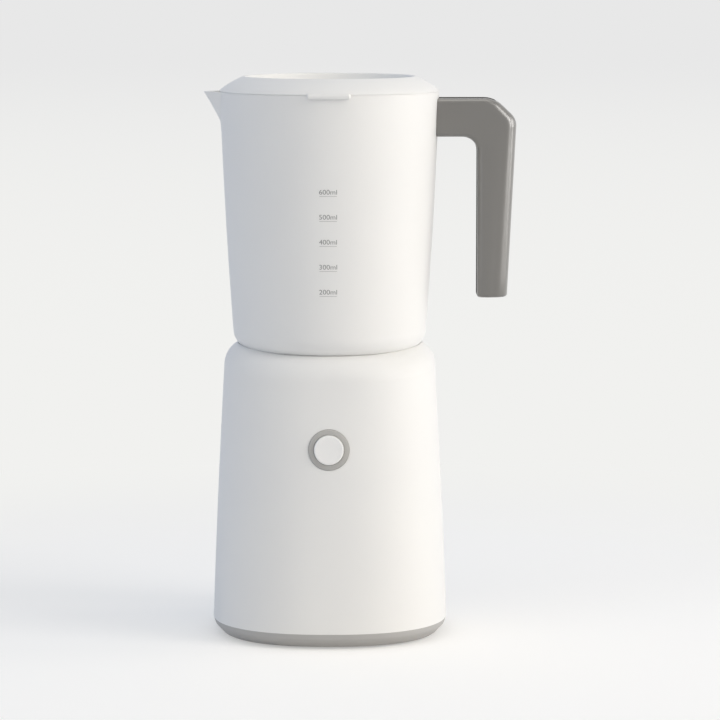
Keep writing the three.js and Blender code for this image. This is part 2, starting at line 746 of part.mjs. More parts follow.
const plungerTip = -BOARD_SETBACK + FIT + SWITCH_DEPTH + PLUNGER_PROUD;

function buttonCap() {
  const flangeFront = -BEZEL_DEPTH - FIT;
  const flangeBack = flangeFront - CAP_FLANGE_THICK;
  const stemEnd = plungerTip + FIT;
  return revolved([
    [0, stemEnd], [CAP_STEM_RADIUS, stemEnd], [CAP_STEM_RADIUS, flangeBack],
    [CAP_FLANGE_RADIUS, flangeBack], [CAP_FLANGE_RADIUS, flangeFront], [CAP_RADIUS, flangeFront],
    [CAP_RADIUS, CAP_PROUD - 2 * FIT], [CAP_RADIUS - 2 * FIT, CAP_PROUD], [0, CAP_PROUD + FIT / 2],
  ], hiddenSides);
}

function pushSwitch() {
  const back = -BOARD_SETBACK + FIT;
  const bore = disc(PLUNGER_RADIUS + RUN, PLUNGER_LENGTH + BUTTON_TRAVEL + OVERRUN, 0, 0,
    plungerTip - PLUNGER_LENGTH - BUTTON_TRAVEL - FIT, tinySides);
  return cut(block(SWITCH_SIZE, SWITCH_SIZE, SWITCH_DEPTH, 0, 0, back), bore);
}

function switchPlunger() {
  return disc(PLUNGER_RADIUS, PLUNGER_LENGTH, 0, 0, plungerTip - PLUNGER_LENGTH, tinySides);
}

const boardBack = -POWER_BOARD_SETBACK - BOARD_THICK - FIT;

function heaterRelay() {
  const rise = RELAY_EDGE + RELAY_HEIGHT / 2 - POWER_BOARD_HEIGHT / 2;
  return prism(roundedPlate(RELAY_WIDTH, RELAY_HEIGHT, OVERRUN), RELAY_DEPTH, boardBack - RELAY_DEPTH)
    .translate(0, rise, 0);
}

function filterCapacitor() {
  const sleeve = CAPACITOR_RADIUS - FIT;
  const rise = POWER_BOARD_HEIGHT / 2 - CAPACITOR_EDGE - CAPACITOR_RADIUS;
  return revolved([
    [0, boardBack - CAPACITOR_LENGTH], [sleeve - FIT, boardBack - CAPACITOR_LENGTH],
    [CAPACITOR_RADIUS, boardBack - CAPACITOR_LENGTH + FIT], [CAPACITOR_RADIUS, boardBack - FIT],
    [sleeve, boardBack], [0, boardBack],
  ], smallSides).translate(0, rise, 0);
}

// Inlet body with a mouth that has two cut corners, and three flat pins.
function powerInlet() {
  const x = INLET_MOUTH_WIDTH / 2;
  const y = INLET_MOUTH_HEIGHT / 2;
  const mouth = outline([[-x, -y], [x, -y], [x, y - INLET_CORNER], [x - INLET_CORNER, y],
    [INLET_CORNER - x, y], [-x, y - INLET_CORNER]]);
  const flange = roundedPlate(INLET_FLANGE_WIDTH, INLET_FLANGE_HEIGHT, OVERRUN);
  const body = join(
    prism(flange, INLET_FLANGE_THICK, -INLET_FLANGE_THICK),
    block(INLET_BODY_WIDTH, INLET_BODY_HEIGHT, INLET_BODY_DEPTH - FIT, 0, 0, -INLET_BODY_DEPTH));
  const hollow = cut(body, prism(mouth, INLET_MOUTH_DEPTH + OVERRUN, -INLET_MOUTH_DEPTH));
  const pinPlaces = [
    [-INLET_PIN_PITCH, -INLET_PIN_DROP],
    [INLET_PIN_PITCH, -INLET_PIN_DROP],
    [0, INLET_EARTH_RISE],
  ];
  const pinRoot = -INLET_MOUTH_DEPTH - OVERRUN;
  return join(hollow, ...pinPlaces.map(([px, py]) =>
    block(INLET_PIN_WIDTH, INLET_PIN_HEIGHT, INLET_PIN_LENGTH + OVERRUN, px, py, pinRoot)));
}

// Heights along the motor, from the posts under the well down to the fan.
const topBracketTop = wellUnder - MOUNT_POST_LENGTH - FIT;
const topBracketFoot = topBracketTop - BRACKET_THICK;
const motorRoom = topBracketFoot - coverTop;
const stackHeight = motorRoom * stackShare;
const lowerLegLength = motorRoom * lowerLegShare;
const stackTop = topBracketFoot - TOP_LEG_LENGTH - FIT;
const stackFoot = stackTop - stackHeight;
const lowBracketTop = stackFoot - FIT - lowerLegLength;
const windingFoot = stackFoot - END_TURN_HEIGHT;
const commutatorTop = windingFoot - COMMUTATOR_GAP;
const brushZ = commutatorTop - COMMUTATOR_HEIGHT / 2;
const fanTop = lowBracketTop - CUP_HEIGHT - FAN_GAP;
const starFoot = wellFloor + 2 * FIT + SEAL_FLANGE_THICK;
const starTop = starFoot + STAR_HUB_HEIGHT + STAR_HEIGHT;

function statorStack() {
  const plate = roundedPlate(STACK_WIDTH, STACK_DEPTH, STACK_CORNER);
  const bore = disc(BORE_RADIUS, stackHeight + 2 * OVERRUN, 0, 0, -OVERRUN, hiddenSides);
  const windows = [[-1, -1], [1, -1], [-1, 1], [1, 1]].map(([x, y]) =>
    block(WINDOW_WIDTH, WINDOW_OUTER - WINDOW_INNER, stackHeight + 2 * OVERRUN,
      x * (POLE_HALF + WINDOW_WIDTH / 2), y * (WINDOW_INNER + WINDOW_OUTER) / 2, -OVERRUN));
  return cut(prism(plate, stackHeight), bore, ...windows);
}

// Coil round one pole: its sides run through the windows, its ends pass over and under the stack.
function fieldCoil() {
  const inner = POLE_HALF + FIT;
  const outer = POLE_HALF + WINDOW_WIDTH - FIT;
  const innerHigh = stackHeight / 2 + FIT;
  const outerHigh = innerHigh + COIL_OVERHANG;
  const thick = WINDOW_OUTER - WINDOW_INNER - 2 * FIT;
  const ring = roundedPlate(2 * outer, 2 * outerHigh, COIL_OVERHANG);
  ring.holes.push(roundedPlate(2 * inner, 2 * innerHigh, FIT));
  return prism(ring, thick, -thick / 2).rotateX(Math.PI / 2);
}

// Bracket with a bearing cup, two legs that meet the stack, and open corners round the cup.
function motorBracket(legLength, padHeight) {
  const plate = prism(roundedPlate(BRACKET_WIDTH, BRACKET_DEPTH, BRACKET_CORNER), BRACKET_THICK);
  const cupOuter = BEARING_RADIUS + FIT + CUP_WALL;
  const cup = disc(cupOuter, CUP_HEIGHT, 0, 0, 0, hiddenSides);
  const legX = BRACKET_WIDTH / 2 - LEG_THICK / 2;
  const legs = [-1, 1].map((side) =>
    block(LEG_THICK, LEG_WIDTH, legLength + FIT, side * legX, 0, -legLength));
  const padWidth = BRUSH_WIDTH + 2 * HOLDER_WALL;
  const padFar = BRACKET_DEPTH / 2;
  const pads = padHeight > 0 ? [-1, 1].map((side) =>
    block(padWidth, padFar - cupOuter - FIT, padHeight + FIT, 0,
      side * (padFar + cupOuter + FIT) / 2, -padHeight)) : [];
  const pocket = disc(BEARING_RADIUS + FIT, BEARING_WIDTH + FIT + OVERRUN, 0, 0, -OVERRUN, hiddenSides);
  const eye = disc(CUP_EYE, CUP_HEIGHT + OVERRUN, 0, 0, 0, smallSides);
  return cut(join(plate, cup, ...legs, ...pads), pocket, eye);
}

function bearing() {
  const land = (BEARING_RADIUS - BEARING_BORE) / 4;
  const bore = BEARING_BORE + RUN;
  return revolved([
    [bore, 0], [bore + land, 0], [bore + land, FIT], [BEARING_RADIUS - land, FIT],
    [BEARING_RADIUS - land, 0], [BEARING_RADIUS, 0], [BEARING_RADIUS, BEARING_WIDTH], [bore, BEARING_WIDTH],
  ], smallSides);
}

// Brush holder: a tube that points at the drive axis, closed by a cap at its outer end.
const brushStart = COMMUTATOR_RADIUS + FIT;
const holderStart = brushStart + 2 * FIT;

function brushHolder() {
  const width = BRUSH_WIDTH + 2 * HOLDER_WALL;
  const height = BRUSH_HEIGHT + 2 * HOLDER_WALL;
  const tube = block(width, HOLDER_LENGTH, height, 0, holderStart + HOLDER_LENGTH / 2, -height / 2);
  const boreLength = HOLDER_LENGTH - HOLDER_WALL;
  const bore = block(BRUSH_WIDTH + 2 * FIT, boreLength + OVERRUN, BRUSH_HEIGHT + 2 * FIT,
    0, holderStart + (boreLength - OVERRUN) / 2, -BRUSH_HEIGHT / 2 - FIT);
  return cut(tube, bore);
}

function carbonBrush() {
  const middle = brushStart + BRUSH_LENGTH / 2;
  return block(BRUSH_WIDTH, BRUSH_LENGTH, BRUSH_HEIGHT, 0, middle, -BRUSH_HEIGHT / 2);
}

// Round plate with slots cut in from its rim; the gap draws every wall in or out.
function slottedDisc(radius, slots, width, depth, gap = 0) {
  const points = [];
  for (let i = 0; i < slots; i += 1) {
    const middle = turn * i / slots;
    const rim = radius + gap;
    const root = radius - depth + gap;
    const half = width / 2 - gap;
    const rimAngle = Math.asin(half / rim);
    const rootAngle = Math.asin(half / root);
    const next = turn / slots - rimAngle;
    points.push([root, middle - rootAngle], [root, middle + rootAngle], [rim, middle + rimAngle]);
    points.push([rim, middle + (rimAngle * 2 + next) / 3], [rim, middle + (rimAngle + next * 2) / 3]);
    points.push([rim, middle + next]);
  }
  return outline(points.map(([reach, angle]) => [reach * Math.cos(angle), reach * Math.sin(angle)]));
}

function armatureCore() {
  const core = prism(slottedDisc(CORE_RADIUS, coreSlots, CORE_SLOT_WIDTH, CORE_SLOT_DEPTH), stackHeight);
  return cut(core, disc(SHAFT_RADIUS + FIT, stackHeight + 2 * OVERRUN, 0, 0, -OVERRUN, smallSides));
}

// Winding: end turns above and below the core, joined by bars in its slots.
function armatureWinding() {
  const reach = CORE_RADIUS - FIT;
  const bore = SHAFT_RADIUS + 2 * FIT;
  const neck = reach - END_TURN_HEIGHT / 3;
  const top = stackHeight + END_TURN_HEIGHT;
  const drum = revolved([
    [bore, -END_TURN_HEIGHT], [neck, -END_TURN_HEIGHT], [reach, -END_TURN_HEIGHT / 2],
    [reach, stackHeight + END_TURN_HEIGHT / 2], [neck, top], [bore, top],
  ], smallSides);
  const core = slottedDisc(CORE_RADIUS, coreSlots, CORE_SLOT_WIDTH, CORE_SLOT_DEPTH, FIT);
  return cut(drum, prism(core, stackHeight + 2 * FIT, -FIT));
}

function commutator() {
  const drum = prism(slottedDisc(COMMUTATOR_RADIUS, micaSlots, MICA_WIDTH, MICA_DEPTH), COMMUTATOR_HEIGHT);
  return cut(drum, disc(SHAFT_RADIUS + FIT, COMMUTATOR_HEIGHT + 2 * OVERRUN, 0, 0, -OVERRUN, smallSides));
}

// Shaft stepped down at both ends, with the star on its upper end.
function motorShaft() {
  const foot = fanTop - FAN_HEIGHT;
  const top = starTop - STAR_HEIGHT / 2;
  return revolved([[0, foot], [SHAFT_RADIUS - FIT, foot], [SHAFT_RADIUS, foot + FIT],
    [SHAFT_RADIUS, top - FIT], [SHAFT_RADIUS - FIT, top], [0, top]], smallSides);
}

// Fan: curved blades on a plate, with a hub on the shaft.
function coolingFan() {
  const plate = disc(FAN_RADIUS, FAN_PLATE, 0, 0, FAN_HEIGHT - FAN_PLATE, hiddenSides);
  const hub = disc(FAN_HUB_RADIUS, FAN_HEIGHT, 0, 0, 0, smallSides);
  const length = FAN_RADIUS - FAN_BLADE_INNER_RADIUS;
  const bend = new THREE.Shape();
  bend.absarc(0, length, length, -turn / 4, -turn / 12, false);
  bend.absarc(0, length, length - FAN_BLADE_THICK, -turn / 12, -turn / 4, true);
  const blades = Array.from({ length: fanBlades }, (_, i) => {
    const blade = prism(bend, FAN_HEIGHT - FAN_PLATE / 2);
    return blade.translate(FAN_BLADE_INNER_RADIUS, 0, 0).rotateZ(turn * i / fanBlades);
  });
  const bore = disc(SHAFT_RADIUS + FIT, FAN_HEIGHT + 2 * OVERRUN, 0, 0, -OVERRUN, smallSides);
  const rim = disc(FAN_RADIUS, FAN_HEIGHT, 0, 0, 0, hiddenSides);
  return cut(common(join(plate, hub, ...blades), rim), bore);
}

// Star of tapered teeth; the play widens it for the piece that it turns in.
function star(play = 0) {
  const points = [];
  for (let i = 0; i < starTeeth; i += 1) {
    const middle = turn * i / starTeeth;
    const root = (STAR_ROOT_WIDTH / 2 + play) / (STAR_ROOT_RADIUS + play);
    const tip = (STAR_TIP_WIDTH / 2 + play) / (STAR_TIP_RADIUS + play);
    points.push([STAR_ROOT_RADIUS + play, middle - root], [STAR_TIP_RADIUS + play, middle - tip]);
    points.push([STAR_TIP_RADIUS + play, middle + tip], [STAR_ROOT_RADIUS + play, middle + root]);
  }
  return outline(points.map(([reach, angle]) => [reach * Math.cos(angle), reach * Math.sin(angle)]));
}

function driveCoupler() {
  const hub = disc(STAR_HUB_RADIUS, STAR_HUB_HEIGHT, 0, 0, 0, smallSides);
  const teeth = prism(star(), STAR_HEIGHT + FIT, STAR_HUB_HEIGHT - FIT);
  const boreTop = STAR_HUB_HEIGHT + STAR_HEIGHT / 2 + FIT;
  const bore = disc(SHAFT_RADIUS + FIT, boreTop + OVERRUN, 0, 0, -OVERRUN, smallSides);
  return cut(join(hub, teeth), bore);
}

// Radius of the jug wall at a height, and the side of the jug drawn in by a depth.
function jugRadius(z) {
  const share = (z - jugFoot - JUG_CORNER) / (JUG_HEIGHT - JUG_CORNER);
  return bowed(JUG_FOOT_RADIUS, JUG_RIM_RADIUS, JUG_BULGE, share);
}

function jugProfile(inset, top, cornerSteps = 4, sideSteps = 4) {
  const corner = JUG_CORNER - inset;
  const bend = Array.from({ length: cornerSteps }, (_, i) => {
    const angle = turn / 4 * i / cornerSteps;
    return [
      JUG_FOOT_RADIUS - JUG_CORNER + corner * Math.sin(angle),
      jugFoot + JUG_CORNER - corner * Math.cos(angle),
    ];
  });
  const side = Array.from({ length: sideSteps + 1 }, (_, i) => {
    const z = jugFoot + JUG_CORNER + (top - jugFoot - JUG_CORNER) * i / sideSteps;
    return [jugRadius(z) - inset, z];
  });
  return [...bend, ...side];
}

// Beak that grows from a narrow toe on the wall to its full plan at the rim.
function spoutBeak(inset, top) {
  const steps = 5;
  const levels = 5;
  const root = JUG_RIM_RADIUS - 2 * JUG_WALL;
  const foot = jugRim - SPOUT_HEIGHT;
  const rings = Array.from({ length: levels + 1 }, (_, level) => {
    const share = spoutToeShare + (1 - spoutToeShare) * level / levels;
    const z = foot + (top - foot) * level / levels;
    const width = (SPOUT_HALF_WIDTH - inset) * Math.sqrt(share);
    const ring = Array.from({ length: 2 * steps + 1 }, (_, i) => {
      const along = (i - steps) / steps;
      const reach = SPOUT_REACH * share ** spoutSlopePower * (1 - Math.abs(along) ** spoutPlanPower);
      const wall = Math.sqrt(jugRadius(z) ** 2 - (width * along) ** 2);
      return [inset - wall - reach, width * along, z];
    });
    return [[-root, width, z], [-root, -width, z], ...ring];
  });
  return skinned(rings);
}

function jugShell() {
  const rimChamfer = jugRim - JUG_RIM_CHAMFER;
  const outer = jugProfile(0, rimChamfer);
  const inner = jugProfile(JUG_WALL, rimChamfer, 3, 3);
  const ledgeTop = jugRim - LINER_LEDGE_DROP;
  const ledgeFoot = ledgeTop - LINER_LEDGE_HEIGHT;
  const wall = revolved([
    [JUG_OPENING_RADIUS, jugFoot], ...outer,
    [JUG_RIM_RADIUS - JUG_RIM_CHAMFER, jugRim], [JUG_RIM_RADIUS - JUG_WALL + JUG_RIM_CHAMFER, jugRim],
    ...inner.reverse(), [JUG_OPENING_RADIUS, jugFoot + JUG_WALL],
  ]);
  const ledgeOuter = jugRadius(ledgeTop) - JUG_WALL / 2;
  const ledge = revolved([
    [ledgeOuter, ledgeFoot], [ledgeOuter, ledgeTop],
    [jugRadius(ledgeTop) - JUG_WALL - LINER_LEDGE_WIDTH, ledgeTop],
    [jugRadius(ledgeTop) - JUG_WALL - LINER_LEDGE_WIDTH, ledgeTop - LINER_LEDGE_HEIGHT / 3],
    [jugRadius(ledgeFoot) - JUG_WALL, ledgeFoot],
  ]);
  const hollow = disc(JUG_RIM_RADIUS - JUG_WALL, SPOUT_HEIGHT + 2 * OVERRUN, 0, 0,
    jugRim - SPOUT_HEIGHT - OVERRUN, bigSides);
  const beak = cut(spoutBeak(0, jugRim), hollow);
  const sill = ledgeTop + FIT + LINER_WALL;
  const mouth = disc(JUG_RIM_RADIUS + SPOUT_REACH, SPOUT_HEIGHT, 0, 0, sill, bigSides);
  const channel = common(spoutBeak(SPOUT_WALL, jugRim + OVERRUN), mouth);
  const screwHoles = handleScrewHeights.map((z) =>
    disc(SCREW_RADIUS + FIT, JUG_WALL * 4, 0, 0, -JUG_WALL * 2, tinySides)
      .rotateY(turn / 4).translate(jugRadius(z) - JUG_WALL / 2, 0, z));
  return cut(join(wall, ledge, beak), channel, ...screwHoles);
}

function linerRadius(z) {
  const low = cupFloor + LINER_CORNER;
  const high = jugRim - LINER_LEDGE_DROP;
  return LINER_FOOT_RADIUS + (LINER_RIM_RADIUS - LINER_FOOT_RADIUS) * (z - low) / (high - low);
}

// Steel cup drawn from one sheet, with a round corner, a flange on the ledge and a hole for the blades.
function jugLiner() {
  const flangeFoot = jugRim - LINER_LEDGE_DROP + FIT;
  const flangeTop = flangeFoot + LINER_WALL;
  const steps = 3;
  const bend = (inset) => Array.from({ length: steps + 1 }, (_, i) => {
    const angle = turn / 4 * i / steps;
    const radius = LINER_CORNER + inset;
    return [LINER_FOOT_RADIUS - LINER_CORNER + radius * Math.sin(angle),
      cupFloor + LINER_CORNER - radius * Math.cos(angle)];
  });
  const hole = HOUSING_BARREL_RADIUS + FIT;
  return revolved([
    [hole, cupUnder], ...bend(LINER_WALL),
    [linerRadius(flangeFoot) + LINER_WALL, flangeFoot], [LINER_FLANGE_RADIUS, flangeFoot],
    [LINER_FLANGE_RADIUS, flangeTop], [linerRadius(flangeTop), flangeTop],
    ...bend(0).reverse(), [hole, cupFloor],
  ]);
}

function heaterPlate() {
  const top = cupUnder - FIT;
  const hole = HOUSING_BARREL_RADIUS + FIT;
  const edge = PLATE_THICK / 2;
  return revolved([
    [hole, plateUnder], [PLATE_RADIUS - edge, plateUnder], [PLATE_RADIUS, plateUnder + edge],
    [PLATE_RADIUS, top], [hole, top],
  ], hiddenSides);
}

// Tube element: an open ring whose two ends turn down to their terminals.
function heatingElement() {
  const z = plateUnder - FIT - ELEMENT_RADIUS;
  const open = elementOpenAngle * degree / 2;
  const bend = ELEMENT_RADIUS / ELEMENT_RING_RADIUS;
  const steps = 12;
  const place = (angle, drop) => new THREE.Vector3(
    ELEMENT_RING_RADIUS * Math.cos(angle), ELEMENT_RING_RADIUS * Math.sin(angle), z - drop);
  const start = turn / 4 + open;
  const end = turn / 4 + turn - open;
  const ring = Array.from({ length: steps + 1 }, (_, i) => place(start + (end - start) * i / steps, 0));
  const path = new THREE.CatmullRomCurve3([
    place(start - bend, ELEMENT_LEG), place(start - bend, ELEMENT_RADIUS), ...ring,
    place(end + bend, ELEMENT_RADIUS), place(end + bend, ELEMENT_LEG),
  ]);
  const round = new THREE.Shape();
  round.absarc(0, 0, ELEMENT_RADIUS, 0, turn);
  return new THREE.ExtrudeGeometry(round, { steps: 30, curveSegments: 4, extrudePath: path });
}

function thermostat() {
  const height = THERMOSTAT_HEIGHT;
  const neck = THERMOSTAT_RADIUS - 2 * FIT;
  return revolved([[0, -height], [neck, -height], [neck, -height / 3], [THERMOSTAT_RADIUS, -height / 3],
    [THERMOSTAT_RADIUS, 0], [0, 0]], smallSides);
}

function jugBase() {
  const outer = WELL_RADIUS - SPIGOT_PLAY;
  const inner = outer - SPIGOT_WALL;
  const top = jugFoot - FIT;
  const collarOuter = JUG_OPENING_RADIUS - FIT;
  const collarInner = collarOuter - COLLAR_WALL;
  const floor = spigotFoot + SPIGOT_FLOOR;
  const flangeUnder = top - SPIGOT_FLANGE;
  const collarTop = top + COLLAR_HEIGHT;
  const body = revolved([
    [COUPLER_HOLE_RADIUS, spigotFoot], [outer - SPIGOT_EDGE, spigotFoot],
    [outer, spigotFoot + SPIGOT_EDGE], [outer, top], [collarOuter, top], [collarOuter, collarTop],
    [collarInner, collarTop], [collarInner, flangeUnder], [inner, flangeUnder], [inner, floor],
    [COUPLER_HOLE_RADIUS, floor],
  ], hiddenSides);
  const plugHole = block(PLUG_WIDTH + 2 * FIT, PLUG_DEPTH + 2 * FIT, SPIGOT_FLOOR + 2 * OVERRUN,
    0, PLUG_PLACE, spigotFoot - OVERRUN);
  return cut(body, plugHole);
}

function jugPlug() {
  const floor = SPIGOT_FLOOR + FIT;
  const body = join(
    block(PLUG_WIDTH, PLUG_DEPTH, floor + FIT, 0, 0, 0),
    block(PLUG_WIDTH + 2 * PLUG_FLANGE, PLUG_DEPTH + PLUG_FLANGE, PLUG_HEIGHT, 0, 0, floor));
  return join(body, ...plugPinPlaces().map((x) =>
    disc(PLUG_PIN_RADIUS, PLUG_PIN_LENGTH + OVERRUN, x, 0, -PLUG_PIN_LENGTH, tinySides)));
}

// Heights of the blade unit, measured from the floor of the cup.
const flangeTop = cupFloor + FIT + HOUSING_FLANGE_THICK;
const shoulderFoot = flangeTop + RUN;
const shoulderTop = shoulderFoot + BLADE_SHOULDER_THICK;
const lowerBladeZ = shoulderTop + FIT;
const upperBladeZ = lowerBladeZ + BLADE_THICK + FIT;
const bladeNutZ = upperBladeZ + BLADE_THICK + FIT;
const couplerFoot = starFoot + STAR_HUB_HEIGHT + COUPLER_GAP;
const couplerWebFoot = starTop + COUPLER_GAP;
const couplerTop = couplerWebFoot + COUPLER_WEB + COUPLER_HUB_HEIGHT;

function bearingHousing() {
  const foot = cupUnder - BARREL_LENGTH;
  const bore = SHAFT_RADIUS + RUN;
  return revolved([
    [bore, foot], [HOUSING_BARREL_RADIUS, foot], [HOUSING_BARREL_RADIUS, cupFloor + FIT],
    [HOUSING_FLANGE_RADIUS, cupFloor + FIT], [HOUSING_FLANGE_RADIUS, flangeTop - HOUSING_FLANGE_THICK / 2],
    [HOUSING_FLANGE_RADIUS - HOUSING_FLANGE_THICK / 2, flangeTop], [bore, flangeTop],
  ], smallSides);
}

function bearingNut() {
  const nut = disc(NUT_RADIUS, NUT_THICK, 0, 0, 0, 6);
  return cut(nut, disc(HOUSING_BARREL_RADIUS + FIT, NUT_THICK + 2 * OVERRUN, 0, 0, -OVERRUN, smallSides));
}

// Round neck with two flats, which the blades can't turn on.
function flattedNeck(radius, flat, height, z, around = 0) {
  const flats = block(2 * radius + OVERRUN, 2 * flat, height, 0, 0, z).rotateZ(around);
  return common(disc(radius, height, 0, 0, z, smallSides), flats);
}

function bladeShaft() {
  const foot = couplerWebFoot + COUPLER_WEB / 2;
  const neckTop = bladeNutZ + BLADE_NUT_HEIGHT - BLADE_NUT_WEB - FIT;
  const stem = revolved([
    [0, foot], [SHAFT_RADIUS, foot], [SHAFT_RADIUS, shoulderFoot], [BLADE_SHOULDER_RADIUS, shoulderFoot],
    [BLADE_SHOULDER_RADIUS, shoulderTop], [0, shoulderTop],
  ], smallSides);
  const neckFoot = shoulderTop - FIT;
  return join(stem, flattedNeck(BLADE_NECK_RADIUS, BLADE_NECK_FLAT, neckTop - neckFoot, neckFoot));
}

// Two-armed blade: a strip with bent arms, cut to a tapered plan, with a ground leading edge on each arm.
function crossBlade(tilt, around) {
  const rise = Math.tan(tilt * degree);
  const end = (BLADE_REACH - BLADE_HUB) * rise;
  const strip = outline([
    [-BLADE_REACH, end], [-BLADE_HUB, 0], [BLADE_HUB, 0], [BLADE_REACH, end],
    [BLADE_REACH, end + BLADE_THICK], [BLADE_HUB, BLADE_THICK], [-BLADE_HUB, BLADE_THICK],
    [-BLADE_REACH, end + BLADE_THICK],
  ]);
  const bent = prism(strip, BLADE_WIDTH + 2 * OVERRUN, -BLADE_WIDTH / 2 - OVERRUN).rotateX(turn / 4);
  const half = BLADE_WIDTH / 2;
  const tip = BLADE_TIP_WIDTH / 2;
  const plan = outline([
    [-BLADE_REACH, half - BLADE_TIP_WIDTH], [-BLADE_HUB / 2, -half], [BLADE_HUB / 2, -half],
    [BLADE_REACH - tip, -half], [BLADE_REACH, BLADE_TIP_WIDTH - half],
    [BLADE_HUB / 2, half], [-BLADE_HUB / 2, half], [tip - BLADE_REACH, half],
  ]);
  const tall = 2 * Math.abs(end) + 4 * BLADE_THICK;
  const blank = common(bent, prism(plan, tall, -tall / 2));
  const hole = flattedNeck(
    BLADE_NECK_RADIUS + FIT, BLADE_NECK_FLAT + FIT, 4 * BLADE_THICK, -BLADE_THICK, -around);
  const grind = [-1, 1].map((side) => {
    const wedge = outline([[0, BLADE_THICK / 3], [-BLADE_EDGE, BLADE_THICK + FIT], [0, BLADE_THICK + FIT]]);
    const length = BLADE_REACH - BLADE_HUB + OVERRUN;
    const bar = prism(wedge, length).rotateX(turn / 4).rotateZ(turn / 4).translate(0, half + FIT, 0);
    bar.rotateY(-tilt * degree).translate(BLADE_HUB, 0, 0);
    return side < 0 ? bar.rotateZ(turn / 2) : bar;
  });
  return cut(blank, hole, ...grind.map((bar) => bar.rotateZ(turn / 2)));
}

function bladeNut() {
  const nut = revolved([
    [0, 0], [BLADE_NUT_RADIUS, 0], [BLADE_NUT_RADIUS, BLADE_NUT_HEIGHT / 2],
    [BLADE_NUT_RADIUS / 2, BLADE_NUT_HEIGHT], [0, BLADE_NUT_HEIGHT],
  ], 6);
  const boreTop = BLADE_NUT_HEIGHT - BLADE_NUT_WEB;
  const bore = disc(BLADE_NECK_RADIUS + FIT, boreTop + OVERRUN, 0, 0, -OVERRUN, smallSides);
  return cut(nut, bore);
}

function drivenCoupler() {
  const body = revolved([
    [0, couplerFoot], [COUPLER_RADIUS, couplerFoot], [COUPLER_RADIUS, couplerWebFoot + COUPLER_WEB],
    [COUPLER_HUB_RADIUS, couplerWebFoot + COUPLER_WEB], [COUPLER_HUB_RADIUS, couplerTop], [0, couplerTop],
  ], smallSides);
  const socket = prism(star(STAR_PLAY), couplerWebFoot - couplerFoot + OVERRUN, couplerFoot - OVERRUN);
  const boreFoot = couplerWebFoot + COUPLER_WEB / 2 - FIT;
  const bore = disc(SHAFT_RADIUS + FIT, couplerTop, 0, 0, boreFoot, smallSides);
  return cut(body, socket, bore);
}

// Handle measures, from the rim of the jug.
const handleTop = jugRim - HANDLE_DROP;
const armUnder = handleTop - HANDLE_ARM;
const handleFoot = handleTop - HANDLE_HEIGHT;
const gripOuter = JUG_RIM_RADIUS + HANDLE_REACH;
const gripInner = gripOuter - GRIP_TOP_WIDTH;
const handleScrewTop = jugRim - HANDLE_SCREW_UPPER_DROP;
const handleScrewHeights = [handleScrewTop, handleScrewTop - 2 * SCREW_HEAD_RADIUS - FIT];
const inlayStart = jugRadius(armUnder) + HANDLE_SCREW_LENGTH + 2 * FIT;

// Inner edge of the handle from the jug round the bend to the foot, moved into the grip by a depth.
function innerEdge(start, end, depth) {
  const steps = 5;
  const bend = Array.from({ length: steps + 1 }, (_, i) => {
    const angle = turn / 4 * (1 - i / steps);
    const radius = HANDLE_INNER_BEND + depth;
    return [gripInner - HANDLE_INNER_BEND + radius * Math.cos(angle),
      armUnder - HANDLE_INNER_BEND + radius * Math.sin(angle)];
  });
  return [[start, armUnder + depth], ...bend, [gripInner + depth, end]];
}

// Outer corner of the handle, which is flatter than a round one.
function outerBend() {
  const steps = 7;
  return Array.from({ length: steps + 1 }, (_, i) => {
    const angle = turn / 4 * (1 - i / steps);
    return [gripOuter - HANDLE_BEND_WIDTH * (1 - Math.cos(angle) ** handleBendFlatShare),
      handleTop - HANDLE_BEND_HEIGHT * (1 - Math.sin(angle) ** handleBendFlatShare)];
  });
}

function sideways(shape, depth, options = { bevelEnabled: false }) {
  const geometry = new THREE.ExtrudeGeometry(shape, { depth, curveSegments: 6, ...options });
  return geometry.rotateX(turn / 4).translate(0, depth / 2, 0);
}

function jugCore(clearance) {
  const points = jugProfile(-clearance, jugRim).filter(([, z]) => z >= jugFoot);
  return revolved([[0, jugFoot], ...points, [0, jugRim]]);
}

function handle() {
  const root = jugRadius(armUnder) - HANDLE_DEPTH / 2;
  const side = outline([
    [root, handleTop], ...outerBend(), [gripInner + GRIP_FOOT_WIDTH, handleFoot],
    ...innerEdge(root, handleFoot, 0).reverse(),
  ]);
  const body = sideways(side, HANDLE_DEPTH - 2 * HANDLE_EDGE, {
    bevelEnabled: true,
    bevelThickness: HANDLE_EDGE,
    bevelSize: HANDLE_EDGE,
    bevelOffset: -HANDLE_EDGE,
    bevelSegments: 3,
  });
  const groove = sideways(outline([
    ...innerEdge(inlayStart - FIT, handleFoot + INLAY_END - FIT, -OVERRUN),
    ...innerEdge(inlayStart - FIT, handleFoot + INLAY_END - FIT, INLAY_DEPTH + FIT).reverse(),
  ]), INLAY_WIDTH + 2 * FIT);
  const screwHoles = handleScrewHeights.map((z) =>
    disc(SCREW_RADIUS + FIT, 2 * HANDLE_SCREW_LENGTH, 0, 0, -HANDLE_SCREW_LENGTH, tinySides)
      .rotateY(turn / 4).translate(jugRadius(z), 0, z));
  return cut(body, groove, jugCore(FIT), ...screwHoles);
}

function handleCover() {
  const end = handleFoot + INLAY_END;
  const face = innerEdge(inlayStart, end, 0);
  const back = innerEdge(inlayStart, end, INLAY_DEPTH).reverse();
  return sideways(outline([...face, ...back]), INLAY_WIDTH);
}

